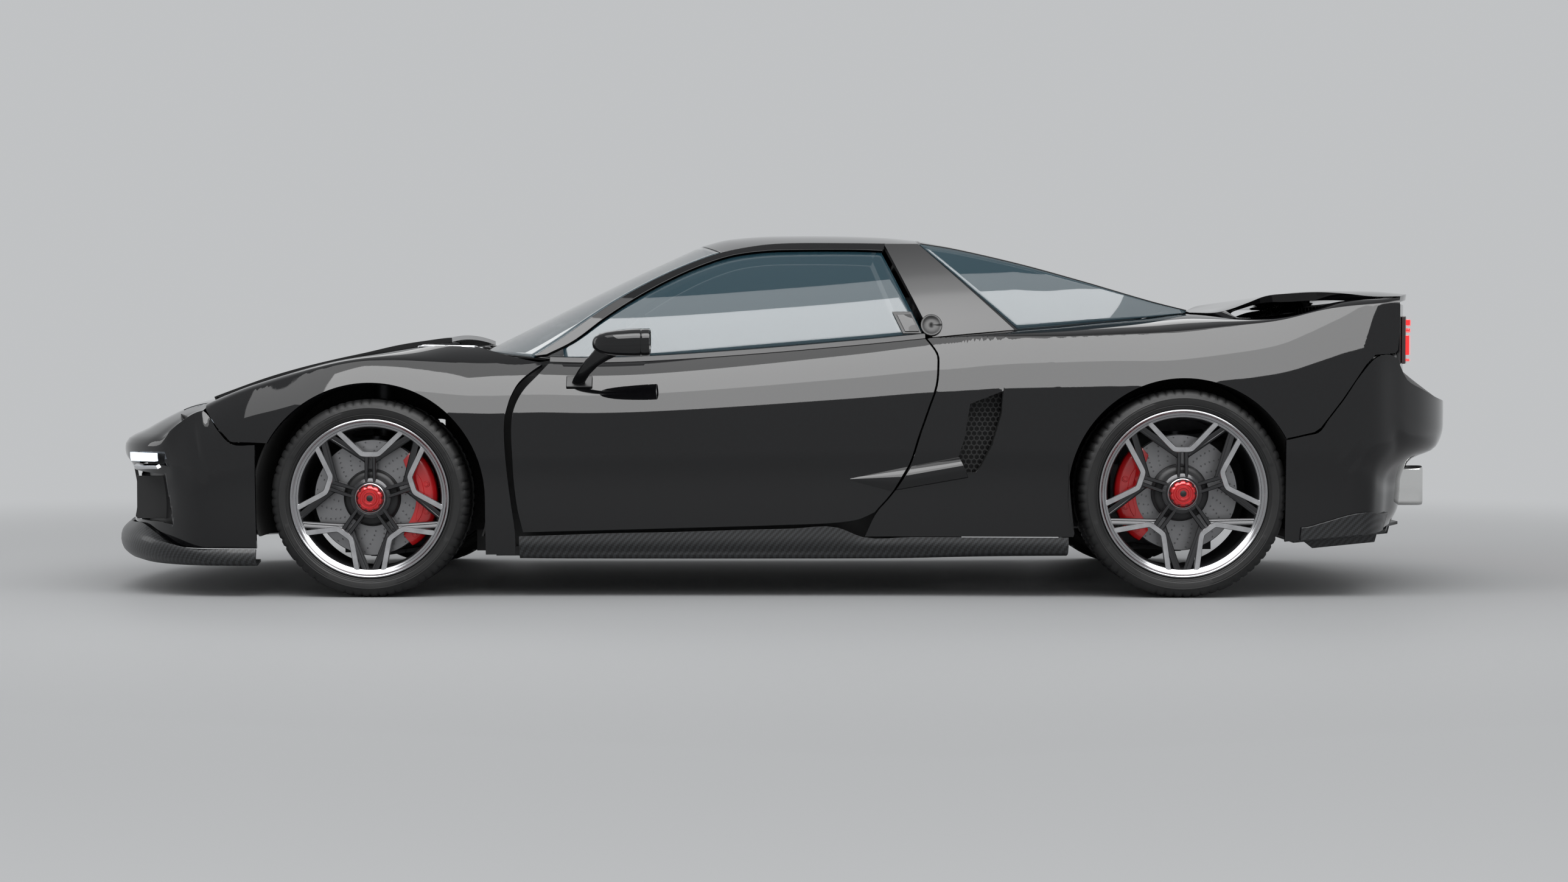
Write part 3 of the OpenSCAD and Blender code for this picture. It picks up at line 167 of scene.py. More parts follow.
CREST_IN = [(-1951, 40), (-1812, 60), (-1600, 75), (-1290, 80), (-1000, 88), (-700, 92), (0, 92), (500, 90),
            (733, 80), (1000, 78), (1240, 82), (1600, 74), (1931, 40)]
BELT_Z = [(-790, 735), (-752, 734), (-612, 731), (-437, 736), (-168, 754), (214, 786), (439, 807), (595, 822),
          (733, 834), (881, 847), (977, 857), (1154, 873), (1300, 890), (1400, 898)]
RIDGE_Z = [(-2191, 469), (-2150, 497), (-2050, 548), (-1950, 592), (-1851, 629), (-1747, 662), (-1643, 694),
           (-1538, 721), (-1434, 744), (-1330, 765), (-1226, 788), (-1122, 804), (-1059, 811), (-900, 812)]
HOOD_Y = [(-1830, 600), (-1500, 640), (-1290, 664), (-1059, 690)]
HOOD_CROWN = [(-1851, 30), (-1700, 22), (-1400, 15), (-1059, 14)]
SILL_Z = 150
SHUT = 5
ARCH_R = 360
FRONT_X, FRONT_R = -1290, 309
REAR_X, REAR_R = 1240, 324.5
SKIN = 0.012
FENDER_REAR = [(133, -838), (197, -838), (269, -847), (345, -857), (458, -868), (553, -870), (600, -860),
               (628, -851), (670, -828), (704, -791), (734, -747)]
ARCH_TURN = [(0, 152), (12, 96), (14, 78), (16, 62), (17, 55), (18, 45), (19, 31), (20, 14.6), (20.7, 0)]


def mix(a, b, t):
    return a + (b - a) * t


def ease(t):
    t = min(max(t, 0.0), 1.0)
    return t * t * (3 - 2 * t)


def hermite(p, q, a, b, t):
    """Smooth step from p to q that leaves with slope a and arrives with slope b."""
    return (p * (2 * t**3 - 3 * t * t + 1) + q * (3 * t * t - 2 * t**3)
            + a * (t**3 - 2 * t * t + t) + b * (t**3 - t * t))


def at(curve, x):
    """Smooth curve through the points, read at x."""
    last = len(curve) - 1
    i = 0
    while i < last - 1 and x >= curve[i + 1][0]:
        i += 1

    def tilt(k):
        a, b = max(k - 1, 0), min(k + 1, last)
        return (curve[b][1] - curve[a][1]) / (curve[b][0] - curve[a][0])

    h = curve[i + 1][0] - curve[i][0]
    t = min(max((x - curve[i][0]) / h, 0.0), 1.0)
    return hermite(curve[i][1], curve[i + 1][1], tilt(i) * h, tilt(i + 1) * h, t)


def straight(curve, x):
    """Straight runs between the points, read at x."""
    return float(np.interp(x, [p[0] for p in curve], [p[1] for p in curve]))


def run(points, t):
    """Point at t along straight runs of equal share."""
    n = len(points) - 1
    i = min(int(t * n), n - 1)
    return mix(np.array(points[i]), np.array(points[i + 1]), t * n - i)


def side_y(x, z):
    s = (z - SILL_Z) / (at(CREST_Z, x) - SILL_Z)
    if s < 0.6:
        return at(WAIST_Y, x) - 26 * ((0.6 - s) / 0.6) ** 2
    return at(WAIST_Y, x) - at(CREST_IN, x) * ((s - 0.6) / 0.4) ** 2.2


def side(x, z):
    return (x, -side_y(x, z), z)


def over(x, q, v):
    """From the crest (v=0) to an inner point q = x, y, z, slope (v=1)."""
    zc = at(CREST_Z, x)
    yc = side_y(x, zc)
    reach = 0.45 * (yc - q[1])
    a = np.array((yc, zc))
    b = a + np.array((-0.5, 0.87)) * min(0.16 * (yc - q[1]), 38)
    d = np.array((q[1], q[2]))
    c = d + np.array((reach, -q[3] * reach))
    w = 1 - v
    p = a * w**3 + b * 3 * w * w * v + c * 3 * w * v * v + d * v**3
    return (mix(x, q[0], v), -p[0], p[1])


def hood_edge(x):
    crown = at(HOOD_CROWN, x)
    return (x, at(HOOD_Y, x), at(RIDGE_Z, x) - crown, 2 * crown / at(HOOD_Y, x))


def body_pt(x, w, edge):
    """From the sill (w=0) up to the crest (w=1) and over it to an inner edge (w=2)."""
    if w <= 1:
        return side(x, mix(SILL_Z, at(CREST_Z, x), w))
    return over(x, edge(x), w - 1)


def level(x, z):
    return np.array((x, (z - SILL_Z) / (at(CREST_Z, x) - SILL_Z)))


def patch(a, b, c, d, u, v, pull):
    """Surface between four edges: a to b over v, bent to meet c and d, whose pull dies off."""
    return (mix(a(u), b(u), v) + (1 - u) ** pull * (c(v) - mix(a(0.0), b(0.0), v))
            + u ** pull * (d(v) - mix(a(1.0), b(1.0), v)))


def arch(cx, cz, deg):
    return level(cx + ARCH_R * math.cos(math.radians(deg)), cz + ARCH_R * math.sin(math.radians(deg)))


def fender_low(u):
    k = u * 22
    if k < 20.7:
        return arch(FRONT_X, FRONT_R, straight(ARCH_TURN, k))
    return level(FRONT_X + ARCH_R, straight([(20.7, FRONT_R), (21, 270), (22, 133)], k))


def fender_high(u):
    k = u * 22
    if k <= 12:
        return np.array((mix(-1826, -1070, k / 12), 2.0))
    if k <= 14:
        return np.array((mix(-1070, -768, (k - 12) / 2), mix(2.0, 1.0, (k - 12) / 2)))
    z = straight([(14, 730), (15, 715), (16, 690), (17, 655), (18, 610), (19, 520), (20, 400), (21, 270),
                  (22, 133)], k)
    return level(at(FENDER_REAR, z), z)


def fender_nose(v):
    return run([level(-1607, 481), level(-1721, 484), level(-1768, 530), level(-1812, 584), (-1826, 2)], v)


def fender_gap(v):
    return mix(fender_low(1.0), fender_high(1.0), v)


def grid_of(fn, n, m):
    """Table of points fn(u, v) in metres, with n by m faces."""
    return np.array([[fn(i / n, j / m) for j in range(m + 1)] for i in range(n + 1)], dtype=float) / 1000


def normals(grid):
    n = np.cross(np.gradient(grid, axis=0), np.gradient(grid, axis=1))
    return n / np.maximum(np.linalg.norm(n, axis=2, keepdims=True), 1e-12)


def keep(grid):
    return grid


def flip_y(grid):
    return (grid * np.array((1, -1, 1)))[::-1]


SIDES = (("left", -1, keep), ("right", 1, flip_y))


def put(name, mesh, mat, body):
    piece = new_object(name, mesh)
    mesh.materials.append(mat)
    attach(piece, body)
    return piece


def shell_mesh(name, outer, inner):
    """Closed solid between an outer and an inner table of points."""
    n, m = outer.shape[:2]
    k = n * m
    faces = []
    for i in range(n - 1):
        for j in range(m - 1):
            a = i * m + j
            faces.append((a, a + m, a + m + 1, a + 1))
            faces.append((k + a, k + a + 1, k + a + m + 1, k + a + m))
    for i in range(n - 1):
        a, b = i * m, i * m + m - 1
        faces.append((a, k + a, k + a + m, a + m))
        faces.append((b, b + m, k + b + m, k + b))
    for j in range(m - 1):
        a, b = j, (n - 1) * m + j
        faces.append((a, a + 1, k + a + 1, k + a))
        faces.append((b, k + b, k + b + 1, b + 1))
    mesh = bpy.data.meshes.new(name)
    mesh.from_pydata(np.concatenate((outer.reshape(-1, 3), inner.reshape(-1, 3))).tolist(), [], faces)
    mesh.shade_smooth()
    mesh.validate()
    mesh.update()
    return mesh


def round_edges(piece, width, steps=2, angle=50):
    bevel = piece.modifiers.new("edges", "BEVEL")
    bevel.width = width
    bevel.segments = steps
    bevel.limit_method = "ANGLE"
    bevel.angle_limit = math.radians(angle)
    bevel.harden_normals = True


def slab(name, outer, inner, mat, body, slot, edge=0.0):
    """A solid between two tables of points, on a body, with rounded rims."""
    piece = put(name, shell_mesh(name, outer, inner), mat, body)
    if edge:
        round_edges(piece, edge)
    return piece


def panel(name, grid, thick, mat, body, slot, edge=0.0015):
    """A skin of even thickness under a table of points."""
    return slab(name, grid, grid - thick * normals(grid), mat, body, slot, edge)


def grain(mat, scale, depth, coat=False):
    """A fine bump from noise, on the surface or on its clear coat."""
    tree = mat.node_tree
    where = shader(tree, "TexCoord")
    noise = shader(tree, "TexNoise", Scale=scale, Detail=3.0)
    bump = shader(tree, "Bump", Strength=1.0, Distance=depth)
    wire(tree, (where.outputs["Object"], noise.inputs["Vector"]), (noise.outputs["Fac"], bump.inputs["Height"]),
         (bump.outputs[0], surface_of(mat).inputs["Coat Normal" if coat else "Normal"]))
    return mat


def mottle(mat, dark, light, scale):
    """Slow change of colour between two near shades."""
    tree = mat.node_tree
    where = shader(tree, "TexCoord")
    noise = shader(tree, "TexNoise", Scale=scale)
    ramp = shader(tree, "ValToRGB")
    for stop, place, shade in zip(ramp.color_ramp.elements, (0.3, 0.7), (dark, light)):
        stop.position = place
        stop.color = (*shade, 1.0)
    wire(tree, (where.outputs["Object"], noise.inputs["Vector"]), (noise.outputs["Fac"], ramp.inputs["Fac"]),
         (ramp.outputs["Color"], surface_of(mat).inputs["Base Color"]))
    return mat


paint = material("gloss_black", (0.005, 0.005, 0.006), 0.32, coat=1.0, coat_rough=0.02, Specular_IOR_Level=0.0)
mottle(paint, (0.0030, 0.0030, 0.0036), (0.0055, 0.0055, 0.0065), 240.0)
grain(paint, 900.0, 0.000004, coat=True)
fender = grid_of(lambda u, v: body_pt(*patch(fender_low, fender_high, fender_nose, fender_gap, u, v, 4),
                                      hood_edge), 88, 30)
for tag, hand, turn in SIDES:
    piece = panel(f"fender_{tag}", turn(fender), SKIN, paint, "body", "body_paint")
    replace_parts(piece, "front_fenders")

# ---------- Hood ----------
# One wide pressed lid between the fenders, hinged at the cowl.


def hood_pt(x, f):
    return (x, f * hood_edge(x)[1], at(RIDGE_Z, x) - at(HOOD_CROWN, x) * f * f)


def hood_at(u, v):
    f = mix(-1, 1, v)
    return hood_pt(mix(-1847 + 20 * f * f, -1062 + 6 * f * f, u), -0.989 * f)


hood_panel = panel("hood_skin", flip_y(grid_of(hood_at, 60, 60)), 0.014, paint, "hood", "body_paint")
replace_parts(hood_panel, "hood")

# ---------- Doors ----------
# Each door is a thick slab from its foot to the belt, with a black moulding under the glass.
DOOR_FRONT = [(197, -815), (269, -832), (345, -842), (420, -847), (534, -851), (591, -843), (647, -815),
              (695, -772), (734, -738)]
DOOR_REAR = [(186, 250), (263, 287), (307, 325), (345, 354), (417, 395), (505, 424), (591, 454), (657, 477),
             (723, 484), (761, 481), (815, 443)]
DOOR_FOOT = [(-815, 197), (-355, 209), (23, 220), (180, 227), (250, 239), (287, 263)]
DOOR_T = 0.075
MOULDING = 17


def door_at(u, v):
    x0, x1 = mix(-812, 284, u), mix(-735, 440, u)
    z = mix(at(DOOR_FOOT, x0) + SHUT, at(BELT_Z, x1), v)
    return side(mix(at(DOOR_FRONT, z) + SHUT / 2, at(DOOR_REAR, z) - SHUT, u), z)


door = grid_of(door_at, 64, 40)
door_rim = door[:, -1:, :]
door_top = door_rim + np.array((0, 0.010, MOULDING / 1000))
strip = np.concatenate((door_rim + (0, -0.0004, 0), door_top), axis=1)
strip_in = np.concatenate((door_rim + (0, 0.072, 0), door_top + (0, 0.062, 0)), axis=1)
trim_black = grain(material("satin_black_trim", (0.012, 0.012, 0.013), 0.38), 700.0, 0.00002)
for tag, hand, turn in SIDES:
    body = f"door_{tag}"
    piece = slab(f"{body}_skin", turn(door), turn(door + (0, DOOR_T, 0)), paint, body, "body_paint", 0.002)
    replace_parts(piece, body)
    slab(f"{body}_moulding", turn(strip), turn(strip_in), trim_black, body, "body_paint", 0.002)

# ---------- Rear quarters ----------
# Wide rear skins from the door gap over the wheel to the tail, with the side intake cut in.
QUARTER_IN = [(445, 812), (600, 805), (733, 775), (881, 738), (1077, 680), (1300, 604), (1400, 648),
              (1500, 722), (1600, 780), (1733, 820), (1931, 832)]
QUARTER_TOP = [(445, 809), (600, 821), (733, 834), (881, 847), (977, 857), (1154, 873), (1300, 888),
               (1450, 874), (1600, 880), (1733, 922), (1931, 934)]
INTAKE_EDGE = [(541, 437), (490, 407), (566, 390), (597, 390), (613, 411), (647, 477), (675, 572), (681, 644),
               (578, 604), (560, 496)]


def quarter_edge(x):
    return (x, at(QUARTER_IN, x), at(QUARTER_TOP, x), 0.05)


def quarter_low(u):
    if u < 0.34:
        return level(mix(252, 905, u / 0.34), 190)
    return arch(REAR_X, REAR_R - 2.5, mix(201.5, 28.6, (u - 0.34) / 0.66))


def quarter_high(u):
    x = straight([(0, 448), (0.34, 640), (0.42, 780), (0.5, 885), (0.6, 1040), (0.7, 1250), (0.85, 1560),
                  (1, 1926)], u)
    return np.array((x, 1 + ease((x - 448) / 170)))


def quarter_door(v):
    z = straight([(0, 190), (0.125, 267), (0.375, 402), (0.5, 470), (0.625, 560), (0.75, 660), (0.875, 739),
                  (1, 806)], v)
    return level(at(DOOR_REAR, z) + 0.5, z)


def quarter_tail(v):
    return run([level(1556, 497), level(1655, 519), level(1730, 615), level(1805, 722), level(1838, 756),
                level(1912, 762), level(1922, 840), (1926, 1), (1926, 2)], v)


def block(name, ends):
    """A closed block between two outlines of points in millimetres."""
    mesh = bpy.data.meshes.new(name)
    work = bmesh.new()
    near, far = [[work.verts.new([c / 1000 for c in p]) for p in end] for end in ends]
    work.faces.new(near)
    work.faces.new(far[::-1])
    for i in range(len(near)):
        k = (i + 1) % len(near)
        work.faces.new((near[i], far[i], far[k], near[k]))
    bmesh.ops.recalc_face_normals(work, faces=work.faces)
    work.to_mesh(mesh)
    work.free()
    return mesh


def prism(name, outline, y0, y1):
    """A block that runs across the car from an outline in x, z."""
    return block(name, [[(x, y, z) for x, z in outline] for y in (y0, y1)])


def carve(piece, meshes, how="DIFFERENCE"):
    """Cuts closed meshes out of a piece, or keeps what lies inside, and stores the result."""
    later = list(piece.modifiers)
    for m in later:
        m.show_viewport = False
    for mesh in meshes:
        step = piece.modifiers.new("cut", "BOOLEAN")
        step.object = new_object(f"{piece.name}_tool", mesh)
        step.operation = how
        step.solver = "EXACT"
    graph = bpy.context.evaluated_depsgraph_get()
    baked = bpy.data.meshes.new_from_object(piece.evaluated_get(graph))
    for m in [m for m in piece.modifiers if m.type == "BOOLEAN"]:
        tool = m.object
        piece.modifiers.remove(m)
        bpy.data.objects.remove(tool)
    piece.data = baked
    baked.shade_smooth()
    for m in later:
        m.show_viewport = True


quarter = grid_of(lambda u, v: body_pt(*patch(quarter_low, quarter_high, quarter_door, quarter_tail, u, v, 1.6),
                                       quarter_edge), 104, 36)
for tag, hand, turn in SIDES:
    piece = panel(f"quarter_{tag}", turn(quarter), SKIN, paint, "body", "body_paint", 0)
    carve(piece, [prism("intake_block", INTAKE_EDGE, hand * 700, hand * 1100)])
    round_edges(piece, 0.0015)
    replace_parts(piece, "rear_quarters")

# ---------- Roof, pillars and rear hatch ----------
# A low curved roof panel between slim rails, wide sail pillars behind the doors, and
# a dark hatch over the engine that is hinged at the roof; its glazing is drawn as a gloss black painted skin.
GLASS_TOP = [(-745, 757), (-661, 801), (-563, 877), (-465, 942), (-367, 997), (-270, 1042), (-172, 1075),
             (-74, 1090), (23, 1094), (219, 1094), (317, 1090)]
RAIL_TOP = [(-790, 750), (-703, 808), (-600, 884), (-500, 950), (-400, 1005), (-300, 1051), (-203, 1086),
            (-80, 1110), (24, 1117), (221, 1116), (330, 1114), (437, 1113)]
WIND_Z = [(-1013, 771), (-913, 821), (-705, 925), (-496, 1027), (-283, 1125)]
ROOF_Z = [(-283, 1125), (-225, 1142), (-183, 1150), (-79, 1159), (25, 1161), (129, 1161), (233, 1159),
          (338, 1154), (437, 1143)]
HATCH_Z = [(437, 1143), (546, 1119), (755, 1070), (963, 1015), (1172, 952), (1300, 916)]
HATCH_SIDE = [(429, 1116), (546, 1096), (755, 1047), (963, 990), (1172, 930), (1300, 899)]
BELT_Y = [(-1100, 800), (-790, 816), (-600, 811), (0, 811), (439, 816), (733, 775), (881, 738), (1077, 680),
          (1300, 604), (1400, 585)]


def house_y(x, z):
    h = z - at(BELT_Z, x)
    return at(BELT_Y, x) - 0.42 * h - 0.00085 * h * max(h, 0)


def house(x, z, inset=0.0):
    return (x, -house_y(x, z) + inset, z)


def house_between(a, b, low, high, v, inset=0.0):
    return house(mix(a, b, v), mix(low, high, v), inset)


def arched(xc, zc, xs, zs, v):
    """Across a panel that arches between its side lines, v from -1 to 1."""
    return (mix(xc, xs, v * v), house_y(xs, zs) * v, mix(zc, zs, v * v))


def roof_at(u, v):
    xc, xs = mix(-281, 428, u), mix(-202, 428, u)
    return arched(xc, at(ROOF_Z, xc), xs, at(RAIL_TOP, xs), mix(-0.9995, 0.9995, v))


def hatch_at(u, v):
    x = mix(438, 1294, u)
    return arched(x, at(HATCH_Z, x), x, at(HATCH_SIDE, x), mix(-0.98, 0.98, v))


def rail_at(u, v):
    a, b = mix(-745, 316, u), mix(-788, 326, u)
    return house_between(a, b, at(GLASS_TOP, a), at(RAIL_TOP, b), v)


def sail_at(u, v):
    a, b = mix(466, 728, u), mix(320, 430, u)
    return house_between(a, b, at(BELT_Z, a) + 1, at(RAIL_TOP, b) - 0.5, v)


roof = panel("roof_skin", grid_of(roof_at, 50, 50), 0.014, paint, "body", "body_paint")
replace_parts(roof, "roof_panel")
hatch = panel("hatch_skin", grid_of(hatch_at, 60, 50), 0.014, paint, "rear_hatch", "hatch_glass")
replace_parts(hatch, "rear_hatch")
rail = grid_of(rail_at, 60, 4)
sail = grid_of(sail_at, 20, 24)
sail_paint = material("sail_gloss", (0.007, 0.007, 0.008), 0.42, coat=0.35, coat_rough=0.12)
grain(sail_paint, 900.0, 0.000004, coat=True)
for tag, hand, turn in SIDES:
    piece = slab(f"roof_rail_{tag}", turn(rail), turn(rail + (0, 0.034, -0.006)), paint, "body", "body_paint",
                 0.002)
    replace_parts(piece, "roof_frame")
    panel(f"sail_{tag}", turn(sail), 0.025, sail_paint, "body", "body_paint")
header = grid_of(lambda u, t: (385 + 40 * u, 600 * (2 * t - 1),
                               mix(1089, 1078, (2 * t - 1) ** 2) - 3 * abs(u - 0.5)), 6, 40)
panel("roof_header", header, 0.014, trim_black, "body", "body_paint", 0.003)

# ---------- Glass ----------
# Laminated blue glass: the windshield, a large glass in each door and a fixed quarter glass.


def wind_at(u, v):
    xc, xs = mix(-1013, -286, u), mix(-788, -208, u)
    return arched(xc, at(WIND_Z, xc), xs, at(RAIL_TOP, xs), mix(-0.9995, 0.9995, v))


def quarter_glass_at(u, v):
    a, b = mix(738, 1288, u), mix(434, 1290, u)
    return house_between(a, b, at(BELT_Z, a) + 3, at(HATCH_SIDE, b) - 4, v, 0.5)


def door_glass_at(u, v):
    a, b = mix(-690, 436, u), mix(-696, 312, u)
    return house_between(a, b, at(BELT_Z, a) + MOULDING + 0.4, at(GLASS_TOP, b) - SHUT - 1.5, v, 12)


def tinted(name, colour, clear):
    """Thin glass: mostly clear, with a gloss and a slight tint."""
    mat = material(name, colour, 0.03, coat=1.0, coat_rough=0.01, Alpha=1 - clear)
    mat.blend_method = "BLEND"
    return mat


GLASS_T = 0.006
glass = tinted("blue_glass", (0.018, 0.066, 0.092), 0.30)
wind = panel("windshield", grid_of(wind_at, 50, 50), GLASS_T, glass, "body", "glass", 0)
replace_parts(wind, "fixed_glass")
quarter_glass, door_glass = grid_of(quarter_glass_at, 40, 16), grid_of(door_glass_at, 60, 20)
for tag, hand, turn in SIDES:
    pane = panel(f"quarter_glass_{tag}", turn(quarter_glass), GLASS_T, glass, "body", "glass", 0)
    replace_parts(pane, "fixed_glass")
    pane = panel(f"door_glass_{tag}_pane", turn(door_glass), GLASS_T, glass, f"door_{tag}", "glass", 0)
    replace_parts(pane, f"door_glass_{tag}")

# ---------- Tyres ----------
# Low rubber tyres on wide beads, with moulded rings, ticks by the rim and shallow blocks on the wall.
# Three grooves run round the tread, and short notches cut its shoulders.
SPOTS = [(f"{end}_{tag}", x, track, r, hand, half, rim)
         for end, x, track, r, half, rim in (("front", FRONT_X, 782.5, FRONT_R, 122.5, 248),
                                             ("rear", REAR_X, 777.5, REAR_R, 147.5, 262))
         for tag, hand in (("left", 1), ("right", -1))]


def wheel_point(x, y, z, spot):
    """From a wheel's own frame, z out of the car, to the car's frame in metres."""
    _, cx, track, cz, hand, _, _ = spot
    return np.stack((cx + x, -hand * (track + z), cz + y), axis=-1) / 1000


def bands(loops):
    """Faces between neighbouring closed loops of vertex numbers."""
    return [(a[k - 1], a[k], b[k], b[k - 1]) for a, b in zip(loops, loops[1:]) for k in range(len(a))]


def loop_faces(n, m, ring=False):
    """Faces of n loops of m points, closed at both ends or joined into a ring."""
    loops = [range(i * m, i * m + m) for i in range(n)]
    return bands(loops + loops[:1]) if ring else bands(loops) + [tuple(loops[0]), tuple(loops[-1])]


def solid_mesh(name, verts, faces, sharp=38):
    """A closed mesh with its normals turned out, smooth but for its sharp edges."""
    mesh = bpy.data.meshes.new(name)
    mesh.from_pydata([tuple(v) for v in verts], [], faces)
    work = bmesh.new()
    work.from_mesh(mesh)
    bmesh.ops.recalc_face_normals(work, faces=work.faces)
    work.to_mesh(mesh)
    work.free()
    mesh.shade_smooth()
    mesh.set_sharp_from_angle(angle=math.radians(sharp))
    return mesh


def loft(name, rows, mat, body, sharp=40, ends=True):
    """A solid through loops of points in millimetres, with closed or open ends."""
    rows = np.array(rows, float) / 1000
    faces = loop_faces(*rows.shape[:2])
    mesh = solid_mesh(name, rows.reshape(-1, 3), faces if ends else faces[:-2], sharp)
    return put(name, mesh, mat, body)


def turned(name, outline, spot, mat, turns=96, shape=None, sharp=38):
    """A ring on a wheel from a closed outline of radius and z; shape(angle, r, z) can press it."""
    angle = np.linspace(0, 2 * math.pi, turns, endpoint=False)[:, None]
    r, z = np.array(outline, float).T[:, None, :] + 0 * angle
    if shape:
        r, z = shape(angle, r, z)
    verts = wheel_point(r * np.cos(angle), r * np.sin(angle), z, spot).reshape(-1, 3)
    mesh = solid_mesh(name, verts, loop_faces(turns, len(outline), ring=True), sharp)
    return put(name, mesh, mat, f"wheel_{spot[0]}")


def offset(a, b, points):
    return [(a + x, b + y) for x, y in points]


def tyre_outline(r, h, rim):
    half = offset(rim, h, [(-1, -15), (1, -11), (2.5, -8.5), (5.5, -6.5), (6, -5), (8, -4.6), (8.6, -5.2),
                           (11, -3.6), (11.6, -2.8), (12.4, -2.8), (13, -3.2), (16, -1.8), (17, -1.5)])
    half += offset(r, h, [(-34, -0.8), (-33, -0.6), (-30, -0.8), (-29, -0.4), (-27.5, -0.4), (-26.5, -1.2),
                          (-20, -3), (-14, -6), (-9, -10), (-5, -15), (-2.4, -21), (-0.8, -28), (0, -36)])
    for groove in (0.42 * h, 0.0):
        half += offset(r, groove, [(0, 6), (-1, 5), (-7, 4), (-7, 0)])
    inner = (offset(rim, h, [(-18, -15), (-18, -34), (4, -26)]) + offset(r, h, [(-30, -14), (-12, -36)]))[::-1]
    return half + [(a, -b) for a, b in half[-2::-1] + inner[::-1]] + inner


def tyre_shape(r_out, h, rim):
    def press(angle, r, z):
        deg = np.degrees(angle) % 360
        out = np.abs(z)
        notch = (deg % 5 < 1.2) & (r > r_out - 16) & (out > 0.5 * h) & (r < r_out + 1)
        sipe = (deg % 5 >= 2.5) & (deg % 5 < 3.7) & (r > r_out - 2) & (out < 0.47 * h)
        tick = (deg % 2.5 < 1.2) & (r > rim + 0.5) & (r < rim + 3)
        turned_block = (deg % 90 > 18) & (deg % 90 < 62) & (deg % 5 < 3.9)
        raised = turned_block & (r > rim + 16.5) & (r < r_out - 31)
        return r - 4.0 * notch - 3.5 * sipe, z + np.sign(z) * (0.5 * tick + 0.8 * raised)
    return press


rubber = material("tyre_rubber", (0.010, 0.010, 0.0105), 0.52, Specular_IOR_Level=0.35)
mottle(rubber, (0.008, 0.008, 0.0085), (0.014, 0.014, 0.014), 9.0)
grain(rubber, 420.0, 0.00025)
for spot in SPOTS:
    size = (spot[3], *spot[5:])
    tyre = turned(f"tyre_{spot[0]}_rubber", tyre_outline(*size), spot, rubber,
                  288, tyre_shape(*size), 30)
    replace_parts(tyre, f"tyre_{spot[0]}")

# ---------- Rims ----------
# Forged rims: a polished lip, a dark satin barrel and five forked spokes in dark titanium.
# The cup inside each fork is turned bright by machining.
titanium = grain(material("dark_titanium", (0.040, 0.040, 0.042), 0.28, 0.8, coat=0.4), 700.0, 0.00001)
machined = material("machined_alloy", (0.48, 0.48, 0.49), 0.26, 1.0)
mottle(machined, (0.42, 0.42, 0.43), (0.54, 0.54, 0.55), 30.0)
grain(machined, 1500.0, 0.00002)
polish = grain(material("polished_lip", (0.36, 0.36, 0.37), 0.16, 1.0), 60.0, 0.00002)
satin = grain(material("satin_barrel", (0.030, 0.030, 0.032), 0.38, 0.6), 500.0, 0.00003)


def sweep(line, section, turn):
    """A bar along a line of x, y; section(t) gives its outline as across, z."""
    line = np.array(line, float)
    along = np.gradient(line, axis=0)
    along /= np.linalg.norm(along, axis=1, keepdims=True)
    rows = np.array([[(p[0] - t[1] * a, p[1] + t[0] * a, z) for a, z in section(i / (len(line) - 1))]
                     for i, (p, t) in enumerate(zip(line, along))])
    x, y, z = rows[..., 0], rows[..., 1], rows[..., 2]
    c, s = math.cos(turn), math.sin(turn)
    return np.stack((x * c - y * s, x * s + y * c, z), axis=-1)


def bars_mesh(name, bars, spot, sharp=30):
    """Closed bars, each a table of loops in the wheel's frame, as one mesh."""
    verts, faces = [], []
    for rows in bars:
        faces += [tuple(k + len(verts) for k in f) for f in loop_faces(*rows.shape[:2])]
        verts += rows.reshape(-1, 3).tolist()
    return solid_mesh(name, wheel_point(*np.array(verts).T, spot), faces, sharp)


def rounded(points, steps):
    """A smooth line through corner points, by cutting its corners."""
    for _ in range(steps):
        out = [points[0]]
        for a, b in zip(points, points[1:]):
            out += [(mix(a[0], b[0], t), mix(a[1], b[1], t)) for t in (0.25, 0.75)]
        points = out + [points[-1]]
    return points


def spoke_tip(rim, deg):
    return ((rim - 20) * math.sin(math.radians(deg)), (rim - 20) * math.cos(math.radians(deg)))


def cup_line(rim):
    """Middle of the bright band in a fork: in from the lip, across the flat and out again."""
    tip = spoke_tip(rim, 25.5)
    right = [(0, 137), (22, 137), (30, 141), (mix(32, tip[0], 0.5), mix(143, tip[1], 0.5)), tip]
    return rounded([(-x, y) for x, y in right[:0:-1]] + right, 3)


def flank_line(rim, hand):
    line = [(11, 112), (18, 124), (38, 137), spoke_tip(rim, 33.0)]
    return rounded([(hand * x, y) for x, y in line], 2)


def cup_section(h):
    def outline(t):
        half = [(8.0, -22), (8.5, -2.0), (7.2, -0.2)]
        rim_line = [(-a, b) for a, b in half[1:]] + [(0, 0)] + half[:0:-1] + [(8.0, -22), (-8.0, -22)]
        return offset(0, h - 21 + 5 * abs(2 * t - 1) ** 1.6, rim_line)
    return outline


def flank_section(h, hand):
    def outline(t):
        top, half = mix(h - 26, h - 21, t), -hand * mix(6.5, 10.5, min(t * 2.5, 1))
        return [(a * half, top + b) for a, b in ((-1, 0), (-0.1, -1.5), (0.1, -3.2), (0.28, -3.2), (0.36, -2.6),
                                                 (0.85, -5.5), (1, -8), (0.8, -24), (-1, -24))]
    return outline


def bar_section(h):
    def outline(t):
        top, half = mix(h - 25, h - 23, t), mix(5.6, 6.6, t)
        return [(-half, top - 3), (2 - half, top), (half - 2, top), (half, top - 3), (half, top - 24),
                (-half, top - 24)]
    return outline


